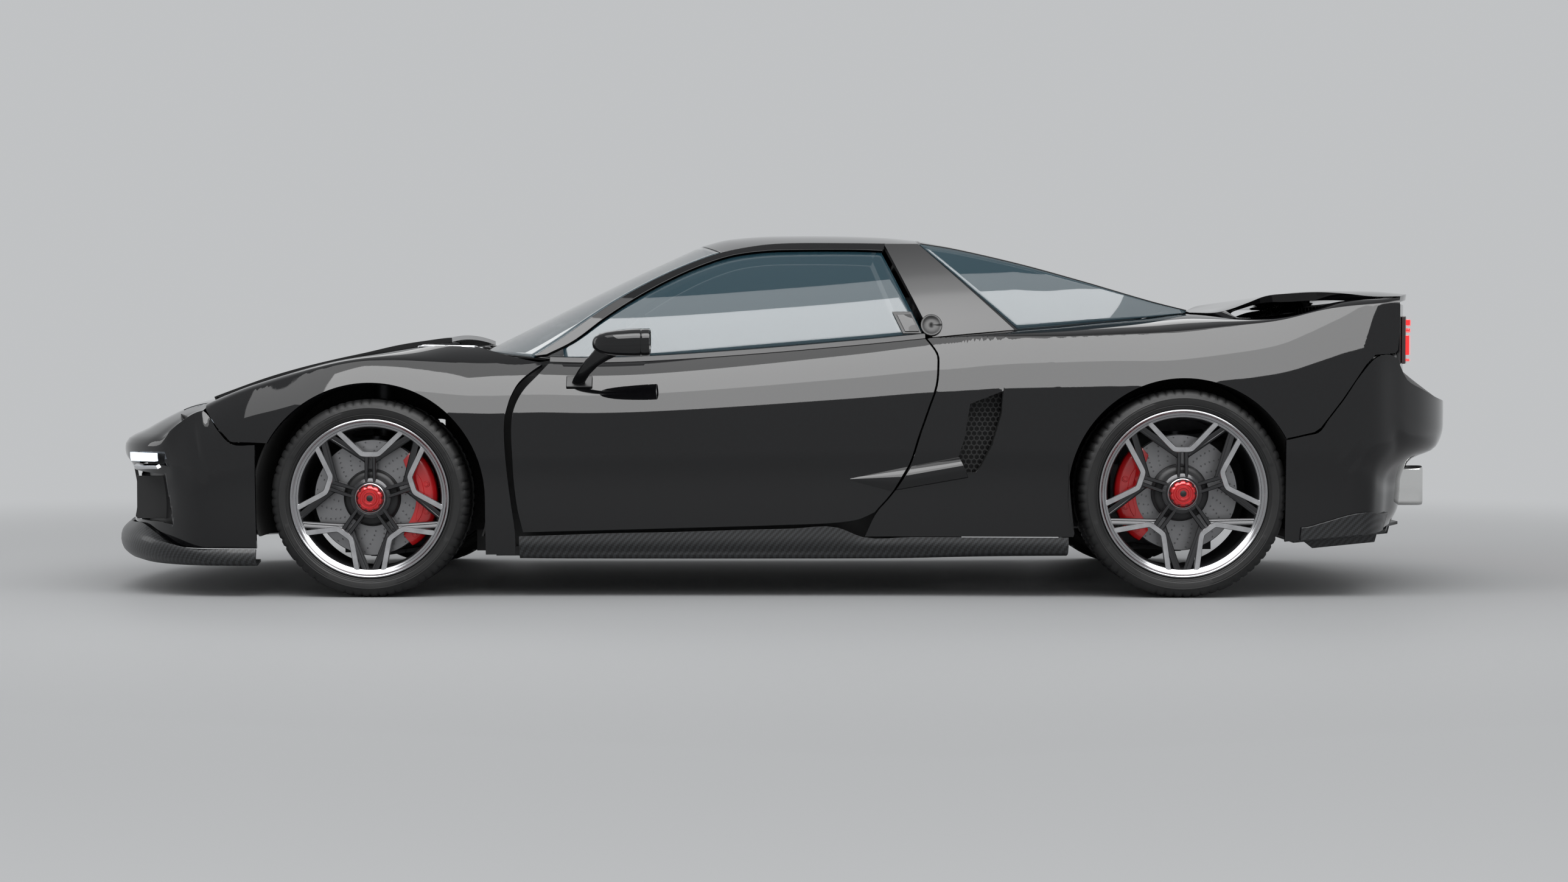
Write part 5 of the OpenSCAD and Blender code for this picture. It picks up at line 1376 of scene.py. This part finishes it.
def blade_grid(low, high, h0, h1, lift):
    """A blade between a lower and an upper edge of x, z, which bulges off the side."""
    low, high = np.array(low, float), np.array(high, float)

    def skin(u, v):
        p = side(*mix(mix(low[0], low[1], u), mix(high[0], high[1], u), v))
        return (p[0], p[1] - lift - mix(h0, h1, u) * math.sin(math.pi * v), p[2])
    return grid_of(skin, 24, 20)


def blade_pair(name, low, high, h0, h1, body):
    for tag, hand, turn in SIDES:
        skin, base = blade_grid(low, high, h0, h1, 1), blade_grid(low, high, h0, h1, 0) + (0, 0.006, 0)
        slab(f"{name}_{tag}", turn(skin), turn(base), paint, body.replace("SIDE", tag), "body_paint", 0.001)


blade_pair("door_blade", [(206, 366), (336, 331)], [(206, 371), (384, 408)], 1, 18, "door_SIDE")
blade_pair("quarter_blade", [(347, 334), (572, 374)], [(396, 410), (545, 439)], 18, 22, "body")
for tag, hand, turn in SIDES:
    ring = np.array(INTAKE_EDGE + INTAKE_EDGE[:1], float)
    heart = ring[:-1].mean(axis=0)
    wall = []
    for q in ring:
        out = heart + (q - heart) * 1.004
        wall.append([(out[0], hand * (side_y(*out) - 10), out[1]), (out[0], hand * 800, out[1])])
    wall = np.array(wall) / 1000
    thin = wall + 0.003 * (wall - np.array((heart[0] / 1000, 0, heart[1] / 1000))) / 0.12 * (1, 0, 1)
    slab(f"intake_duct_{tag}", wall, thin, plastic, "body", "black_plastic")
    back = prism(f"intake_back_{tag}", ring[:-1].tolist(), hand * 796, hand * 801)
    put(f"intake_back_{tag}", back, plastic, "body")
    honeycomb(f"intake_net_{tag}", lambda x, y, d: (0.552 + x, hand * (0.846 - d), 0.378 + y), 0.136, 0.270,
              0.017,
              "body", 0.005)

# ---------- Door handles ----------
# A small flap in the corner behind each door glass opens the door, and a round cup in the rail
# behind it makes room for the fingers.
CUP_RINGS = ((33, -1.0), (31.5, -1.6), (29, -1.4), (26, 1.5), (12, 2.5), (0.5, 2.5))
for tag, hand, turn in SIDES:
    def corner(u, v, low, high, back, wide, inset):
        z = mix(low, high, v)
        x = 436 - 0.47 * (z - 822) - back - wide * (1 - u)
        return (x, hand * (house_y(x, z) - inset), z)

    plate = grid_of(lambda u, v: corner(u, v, 823, 893, 2, 60, 5), 12, 12)[::-hand]
    panel(f"handle_plate_{tag}", plate, 0.005, plastic, f"door_{tag}", "black_plastic")
    flap = grid_of(lambda u, v: corner(u, v, 830, 884, 8, 44, 1.5 - 4 * math.sin(math.pi * v) * u), 12,
                   12)[::-hand]
    panel(f"handle_flap_{tag}", flap, 0.0035, paint, f"door_{tag}", "body_paint", 0.001)
    cup = np.array([[house(463 + r * math.cos(k * math.pi / 18), 849 + r * math.sin(k * math.pi / 18), lift)
                     for k in range(37)] for r, lift in CUP_RINGS]) / 1000
    panel(f"grip_cup_{tag}", turn(cup), 0.003, plastic, "body", "black_plastic", 0)

# ---------- Mirrors ----------
# A slim arm from the door's shoulder carries each gloss black head, with silvered glass behind.


def rod(name, points, radii, mat, body, sides=20, flat=1.0):
    """A round or flattened bar through points in millimetres, with closed ends."""
    points = np.array(points, float)
    along = np.gradient(points, axis=0)
    along /= np.linalg.norm(along, axis=1, keepdims=True)
    rows = []
    for p, t, r in zip(points, along, radii):
        a = np.cross(t, (1.0, 0.0, 0.0) if abs(t[0]) < 0.9 else (0.0, 0.0, 1.0))
        a /= np.linalg.norm(a)
        b = np.cross(t, a)
        rows.append([p + r * (a * math.cos(2 * math.pi * k / sides) * flat
                              + b * math.sin(2 * math.pi * k / sides))
                     for k in range(sides)])
    return loft(name, rows, mat, body)


def squircle(cy, cz, a, b, power=2.7, n=48):
    out = []
    for k in range(n):
        t = 2 * math.pi * k / n
        c, s = math.cos(t), math.sin(t)
        out.append((cy + a * math.copysign(abs(c) ** (2 / power), c),
                    cz + b * math.copysign(abs(s) ** (2 / power), s)))
    return out


HEAD = [(-588, 1008, 790, 5, 5), (-586, 1008, 790, 13, 13), (-579, 1009, 790.5, 23, 21.5),
        (-565, 1010, 791, 33, 29.5), (-542, 1012, 791.5, 43, 35.5),
        (-512, 1013, 792, 51, 39.5), (-475, 1014, 793, 57, 42), (-440, 1015, 794, 61, 43),
        (-437, 1015, 794, 59, 41), (-434, 1015, 794, 61, 43),
        (-414, 1015, 794.5, 61, 42.5), (-410.5, 1015, 794.5, 60, 40.5), (-410.5, 1015, 794.5, 57, 37.5),
        (-414, 1015, 794.5, 56, 36.5), (-419, 1015, 794.5, 56, 36.5)]
silver = grain(material("silvered_glass", (0.62, 0.66, 0.70), 0.03, 1.0), 40.0, 0.000004)
MIRROR_GLASS = ((-418, 55, 35.5), (-415.5, 55, 35.5), (-414.4, 53, 33.5), (-413.4, 35, 22), (-413.1, 12, 8))
for tag, hand, turn in SIDES:
    door = f"door_{tag}"
    head = loft(f"mirror_head_{tag}", [[(x, hand * y, z) for y, z in squircle(cy, cz, a, b)]
                                       for x, cy, cz, a, b in HEAD],
                paint, door, 50)
    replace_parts(head, f"mirror_{tag}")
    loft(f"mirror_glass_{tag}", [[(x, hand * y, z) for y, z in squircle(1015, 794.5, a, b)]
                                 for x, a, b in MIRROR_GLASS],
         silver, door, 60)
    arm = [(-642, 860, 667), (-637, 884, 678), (-620, 915, 702), (-594, 948, 730),
           (-562, 974, 756), (-532, 992, 774)]
    rod(f"mirror_arm_{tag}", [(x, hand * y, z) for x, y, z in arm], [21, 20, 20, 23, 29, 34], paint, door,
        24, 0.42)
    foot = turn(grid_of(lambda u, v: side(mix(-680, -598, u), mix(652, 687, v)), 10, 6))
    pad = slab(f"mirror_foot_{tag}", sunk(foot, -8), sunk(foot, -0.9), plastic, door, "body_paint")
    round_edges(pad, 0.003, 3)

# ---------- Cowl and wiper ----------
# A black plastic panel closes the gap between hood and windshield and carries one long wiper.


def cowl_pt(u, v):
    f = 0.9 * mix(-1, 1, v)
    a = np.array(hood_pt(-1044 + 6 * f * f, f)) - (0, 0, 30)
    high = at(RAIL_TOP, -788)
    foot = np.array((mix(-1013, -788, f * f) - 9, house_y(-788, high) * f, mix(771, high, f * f) - 8))
    return mix(a, foot, u)


cowl = panel("cowl", grid_of(cowl_pt, 6, 60), 0.005, plastic, "body", "black_plastic")
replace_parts(cowl, "wipers")
PIVOT = [(-1034, -40, z) for z in (762, 778, 783, 785)]
ARM = [(-1034, -40, 776), (-1028, -90, 777), (-1004, -240, 779), (-985, -330, 781)]
WIPER = [(-1012, -120, 772), (-1006, -180, 776), (-985, -330, 782), (-958, -480, 781), (-946, -556, 779)]
rod("wiper_pivot", PIVOT, [13, 12, 9, 4], chrome, "body")
rod("wiper_arm", ARM, [9, 7, 5, 4], plastic, "body", 16, 0.6)
rod("wiper_blade", WIPER, [3, 4.5, 6, 4.5, 3], plastic, "body", 12, 0.8)

# ---------- Vents in the hood and fenders ----------
# A long slot with a polished rim lies along each fender's edge, and two black slots cross the hood.


def capsule(a, b, r, n=12):
    """Outline of a long slot with round ends, in x, y."""
    a, b = np.array(a, float), np.array(b, float)
    turn = math.atan2(*(b - a)[::-1])
    out = []
    for centre, start in ((b, -90), (a, 90)):
        for k in range(n + 1):
            t = turn + math.radians(start + 180 * k / n)
            out.append((centre[0] + r * math.cos(t), centre[1] + r * math.sin(t)))
    return out


def drop_on(mesh):
    """Height of a mesh under a point x, y, in metres."""
    tree = BVHTree.FromPolygons([v.co for v in mesh.vertices], [p.vertices for p in mesh.polygons])

    def height(x, y):
        hit = tree.ray_cast(Vector((x, y, 2.0)), Vector((0, 0, -1)))[0]
        return hit.z if hit else None
    return height


def gentle(x, y):
    """Terms of a surface that is flat across the car and bends along it."""
    return np.stack([x * 0 + 1, x, y, x * x], -1)


def vent_rim(name, outline, height, body, r=2.2, lift=1.0):
    """A bright rim that follows the sheet under an outline."""
    hits = [(x, y, height(x / 1000, y / 1000)) for x, y in outline]
    hits = np.array([(x, y, z * 1000) for x, y, z in hits if z is not None])
    hits = hits[hits[:, 2] > np.median(hits[:, 2]) - 14]
    fit = np.linalg.lstsq(gentle(hits[:, 0], hits[:, 1]), hits[:, 2], rcond=None)[0]
    ring = np.array(outline + outline[:2])
    points = np.column_stack([ring, gentle(ring[:, 0], ring[:, 1]) @ fit + lift])
    rod(name, points, [r] * len(points), chrome, body, 10)


for tag, hand, turn in SIDES:
    skin = bpy.data.objects[f"fender_{tag}"]
    outline = capsule((-1145, hand * 714), (-985, hand * 739), 16)
    vent_rim(f"vent_rim_{tag}", outline, drop_on(skin.data), "body")
    carve(skin, [standing("vent", outline, 680, 830)])
    y = hand * 726
    fins(f"vent_tray_{tag}", [((-1165, y - 34, 700), (-965, y + 34, 704))]
         + [((-1150 + 26 * k, y - 30, 706), (-1146 + 26 * k, y + 30, 724)) for k in range(8)],
         plastic, "body")
HOOD_SLOT = [(-1214, 335), (-1176, 335), (-1131, 520), (-1172, 520)]
carve(hood_panel, [standing("slot", [(x, hand * y) for x, y in HOOD_SLOT], 700, 860) for hand in (-1, 1)])


def slot_tray(u, v):
    return (mix(mix(-1220, -1178, u), mix(-1170, -1125, u), v), mix(325, 530, v), 765 - 25 * u - 22 * v)


for tag, hand, turn in SIDES:
    tray = grid_of(slot_tray, 4, 8)
    panel(f"hood_slot_tray_{tag}", tray if hand > 0 else flip_y(tray), 0.004, plastic, "hood", "body_paint")

# ---------- Cabin seats ----------
# Two sport seats on low rails: a hard carbon shell with stuffed leather pads for seat, back and head.
# The pads are sewn over foam, so they swell between their seams.
SEAT_Y = 370
leather = grain(mottle(material("grey_leather", (0.055, 0.056, 0.060), 0.48), (0.045, 0.046, 0.050),
                       (0.072, 0.073, 0.078), 60.0), 380.0, 0.0006)
thread = grain(material("seam_thread", (0.16, 0.16, 0.17), 0.6), 900.0, 0.0002)


def bake(piece):
    """Stores what a piece's modifiers make of its mesh."""
    graph = bpy.context.evaluated_depsgraph_get()
    mesh = bpy.data.meshes.new_from_object(piece.evaluated_get(graph))
    piece.modifiers.clear()
    piece.data = mesh
    return mesh


def swell(piece, cap, frames=20):
    """Cloth under pressure pushes the points of a pad out, none further than cap."""
    base = piece.data
    start = np.array([v.co[:] for v in base.vertices])
    cloth = piece.modifiers.new("cloth", "CLOTH")
    cloth.settings.use_pressure = True
    cloth.settings.uniform_pressure_force = 4.0
    cloth.settings.effector_weights.gravity = 0.0
    cloth.settings.quality = 5
    cloth.point_cache.frame_start, cloth.point_cache.frame_end = 1, frames
    for step in range(1, frames + 1):
        scene.frame_set(step)
    graph = bpy.context.evaluated_depsgraph_get()
    swollen = piece.evaluated_get(graph).to_mesh()
    move = np.array([v.co[:] for v in swollen.vertices]) - start
    piece.evaluated_get(graph).to_mesh_clear()
    piece.modifiers.clear()
    scene.frame_set(1)
    move *= np.minimum(1, cap / np.maximum(np.linalg.norm(move, axis=1, keepdims=True), 1e-9))
    base.vertices.foreach_set("co", (start + move).reshape(-1))


def stuff(piece, cap):
    """Evens out a pad's mesh, blows it up and smooths it."""
    remesh = piece.modifiers.new("fine", "REMESH")
    remesh.mode = "VOXEL"
    remesh.voxel_size = 0.006
    bake(piece)
    swell(piece, cap)
    piece.modifiers.new("calm", "SMOOTH").iterations = 6
    bake(piece).shade_smooth()


BACK_LINE = [(0, 214, 296), (0.2, 262, 380), (0.45, 300, 520), (0.75, 352, 690), (1.0, 398, 846)]


def seams(u, v, count, at_side):
    """Depth of the stitched channels: two along the pad and some across its middle."""
    return (5 * math.exp(-((abs(v) - at_side) / 0.03) ** 2)
            + 3 * math.exp(-(((u * count) % 1 - 0.5) / 0.07) ** 2) * (abs(v) < at_side - 0.02))


def base_top(u, v):
    wing = max(abs(v) - 0.62, 0) / 0.38
    across = 242 * v * (1 - 0.10 * u**6)
    return (mix(205, -258, u), across, mix(272, 322, u) + 26 * wing - seams(u, v, 5, 0.60) - 30 * u**10)


def back_front(u, v):
    x = straight([(a, b) for a, b, _ in BACK_LINE], u)
    z = straight([(a, c) for a, _, c in BACK_LINE], u)
    wing = max(abs(v) - 0.6, 0) / 0.4
    wide = straight([(0, 215), (0.2, 238), (0.6, 240), (0.8, 215), (1, 150)], u)
    return (x - 42 * wing * (1 - 0.6 * u) + seams(u, v, 6, 0.58), wide * v, z)


def head_front(u, v):
    return (mix(398, 421, u), 105 * v * (1 - 0.12 * u * u), mix(868, 968, u))


def pad_mesh(name, face, deep, n=30, m=30):
    top = np.array([[face(i / n, mix(-1, 1, j / m)) for j in range(m + 1)] for i in range(n + 1)], float) / 1000
    push = normals(top)
    u = np.linspace(-1, 1, n + 1)[:, None, None]
    v = np.linspace(-1, 1, m + 1)[None, :, None]
    soft = (1 - np.abs(u) ** 6) ** 0.5 * (1 - np.abs(v) ** 6) ** 0.5
    return shell_mesh(name, top - push * 0.012 * (1 - soft), top - push * (0.014 + deep * soft))


def fit_twins(name, mesh, mat, body):
    """The same mesh for both seats; the second is moved across the car."""
    twins = []
    for tag, y in (("left", -SEAT_Y), ("right", SEAT_Y)):
        twin = mesh.copy()
        twin.transform(Matrix.Translation((0, y / 1000, 0)))
        twins.append(put(f"{name}_{tag}", twin, mat, body))
    return twins


for name, face, deep, cap, fill in (("seat_pad", base_top, 0.055, 0.010, 0.8),
                                    ("back_pad", back_front, 0.050, 0.010, 0.8),
                                    ("head_pad", head_front, 0.030, 0.006, 0.9)):
    rough_pad = new_object(f"{name}_form", pad_mesh(name, face, deep))
    stuff(rough_pad, cap)
    final = rough_pad.data
    bpy.data.objects.remove(rough_pad)
    for piece in fit_twins(name, final, leather, "body"):
        if name == "seat_pad":
            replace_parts(piece, "seats")


def shell_back(u, v):
    x = straight([(0, 262), (0.2, 318), (0.45, 356), (0.75, 408), (1.0, 448)], u)
    z = straight([(0, 205), (0.2, 330), (0.45, 500), (0.75, 690), (1.0, 850)], u)
    wide = straight([(0, 225), (0.2, 248), (0.6, 248), (0.8, 224), (1, 150)], u)
    return (x - 30 * abs(v) ** 4, wide * v, z)


def pan(u, v):
    v = mix(-1, 1, v)
    return (mix(262, -262, u), 246 * v, mix(206, 236, u) + 26 * abs(v) ** 6)


back_shell = grid_of(lambda u, v: shell_back(u, mix(-1, 1, v)), 30, 24)
base_shell = grid_of(pan, 20, 20)
shells = (("seat_shell", back_shell - 0.008 * normals(back_shell), back_shell, carbon),
          ("seat_pan", base_shell + 0.006 * normals(base_shell), base_shell, plastic))
for name, outer, inner, mat in shells:
    for piece in fit_twins(name, shell_mesh(name, outer, inner), mat, "body"):
        round_edges(piece, 0.002)
for tag, hand, turn in SIDES:
    fins(f"seat_rails_{tag}", [((-200, hand * SEAT_Y + s * 230 - 18, 151),
                                (200, hand * SEAT_Y + s * 230 + 18, 205))
                               for s in (-1, 1)], hat_black, "body", 0.003)
for tag, hand, turn in SIDES:
    y = hand * SEAT_Y
    for k, v in enumerate((-0.6, 0.6)):
        line = [np.array(back_front(u, v)) + (-7, y, 0) for u in np.linspace(0.06, 0.94, 24)]
        rod(f"back_piping_{tag}_{k}", line, [2.6] * 24, thread, "body", 8)
    for k, s in enumerate((-1, 1)):
        post = [(430, y + s * 38, 835), (432, y + s * 38, 870), (434, y + s * 38, 905)]
        rod(f"head_post_{tag}_{k}", post, [6, 6, 6], chrome, "body", 16)

# ---------- Dashboard, console and steering wheel ----------
# A low padded dash with a hood over the dials, a flat centre screen and a high console between the seats.
dash_trim = grain(mottle(material("dash_grain", (0.030, 0.030, 0.032), 0.55), (0.026, 0.026, 0.028),
                         (0.038, 0.038, 0.040), 50.0), 520.0, 0.0004)
screen = grain(material("screen_glass", (0.010, 0.012, 0.016), 0.08, coat=1.0), 30.0, 0.000002)
DASH = [(-898, 562), (-898, 688), (-880, 704), (-800, 734), (-720, 731), (-650, 724), (-610, 708), (-592, 690),
        (-592, 672), (-600, 600), (-640, 578), (-700, 562)]


def dash_ring(y):
    hood_up = 16 * math.exp(-((y + SEAT_Y) / 150) ** 4)
    drop = 10 * (abs(y) / 690) ** 6
    return [(x + (6 if z > 690 and x > -700 else 0) * math.cos(y / 220), y,
             z + (hood_up if -760 < x < -600 and z > 685 else 0) - drop * (z > 600)) for x, z in DASH]


dash = loft("dash_pad", [dash_ring(y) for y in np.linspace(-688, 688, 81)], dash_trim,
            "body", 45)
round_edges(dash, 0.006, 3, 30)
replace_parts(dash, "dashboard")
CONSOLE = [(-720, 561), (-640, 500), (-560, 424), (-420, 382), (-200, 334), (180, 330), (180, 151), (-700, 151)]
console = put("console", prism("console", CONSOLE, -108, 108), dash_trim, "body")
round_edges(console, 0.012, 4, 30)
fins("console_lid", [((-180, -84, 330), (160, 84, 344))], leather, "body", 0.006)
fins("centre_screen", [((-598, -120, 612), (-588, 120, 702))], screen, "body", 0.003)
fins("dial_screen", [((-604, -470, 640), (-596, -270, 706))], screen, "body", 0.003)
fins("vent_blades", [((-596, y0, z), (-584, y0 + 110, z + 3)) for y0 in (-650, 180, 500)
                     for z in (640, 650, 660, 670)], plastic, "body", 0.001)
lean = Matrix.Translation((-0.400, -SEAT_Y / 1000, 0.712)) @ Matrix.Rotation(math.radians(-112), 4, "Y")


def on_wheel(name, rows, mat, sharp=40, ring=False):
    """A solid through loops of points in the steering wheel's own frame, in millimetres."""
    rows = np.array(rows, float)
    verts = [lean @ Vector(p / 1000) for p in rows.reshape(-1, 3)]
    mesh = solid_mesh(name, verts, loop_faces(*rows.shape[:2], ring), sharp)
    return put(name, mesh, mat, "steering_wheel")


def rim_loop(a):
    flat = 1 - 0.09 * max(0, -math.cos(a) - 0.75) / 0.25
    grip = 13.5 + 1.5 * math.cos(2 * a) ** 2
    turns = [2 * math.pi * j / 16 for j in range(16)]
    return [(r * math.cos(a), r * math.sin(a), grip * math.sin(b))
            for b, r in ((b, (178 + grip * math.cos(b)) * flat) for b in turns)]


def circles(rows, n, a=1.0, b=1.0):
    """Loops of n points from rows of z and radius."""
    turns = [2 * math.pi * k / n for k in range(n)]
    return [[(a * r * math.cos(t), b * r * math.sin(t), z) for t in turns] for z, r in rows]


rim = on_wheel("steering_rim", [rim_loop(2 * math.pi * k / 96) for k in range(96)], leather, 38, True)
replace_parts(rim, "steering_wheel")
SPOKE = ((40, 26, -4), (80, 20, -5), (120, 17, -3), (158, 19, 0), (172, 22, 0))
SPOKE_EDGE = ((-1, -3), (-1, 3), (-0.6, 5), (0.6, 5), (1, 3), (1, -3))
for k, deg in enumerate((90, 270, 180)):
    c, s = math.cos(math.radians(deg)), math.sin(math.radians(deg))
    rows = [[(r * c - u * w * s, r * s + u * w * c, z - lift) for u, lift in SPOKE_EDGE] for r, w, z in SPOKE]
    on_wheel(f"steering_spoke_{k}", rows, titanium)
boss = ((20, 46), (14, 51), (-4, 52), (-12, 48), (-15, 34), (-16, 10))
on_wheel("steering_pad", circles(boss, 40, 0.92, 1.08), dash_trim, 50)
on_wheel("steering_shaft", circles(((18, 12), (60, 12), (62, 11), (238, 11), (240, 9)), 24), box_steel, 50)

# ---------- Chassis, engine and wheel liners ----------
# The frame, engine and suspension keep their solids and are finished in chassis black, cast and bare metal.


def worn(name, colour, rough, metal, low, high, scale, fine, depth):
    """A finish with a cloudy tint from low to high and a fine grain."""
    mat = material(name, colour, rough, metal)
    return grain(mottle(mat, low, high, scale), fine, depth)


chassis_black = worn("chassis_black", (0.020, 0.020, 0.021), 0.52, 0.0, (0.016, 0.016, 0.017),
                     (0.028, 0.028, 0.029), 14.0, 240.0, 0.0002)
cast = worn("cast_alloy", (0.22, 0.22, 0.23), 0.48, 0.8, (0.17, 0.17, 0.18), (0.27, 0.27, 0.28), 22.0, 300.0,
            0.0005)
arm_steel = worn("arm_steel", (0.055, 0.056, 0.060), 0.42, 0.7, (0.045, 0.046, 0.050),
                 (0.075, 0.076, 0.080), 18.0, 260.0, 0.0003)
liner = worn("liner_felt", (0.012, 0.012, 0.012), 0.85, 0.0, (0.009, 0.009, 0.009),
             (0.018, 0.018, 0.018), 120.0, 800.0, 0.0006)
FINISH = {"tub": chassis_black, "engine": cast, "suspension": arm_steel, "knuckle_left": cast,
          "knuckle_right": cast, "wheelhouses": liner}
for node, mat in FINISH.items():
    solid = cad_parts[node]
    solid.data.materials.clear()
    solid.data.materials.append(mat)
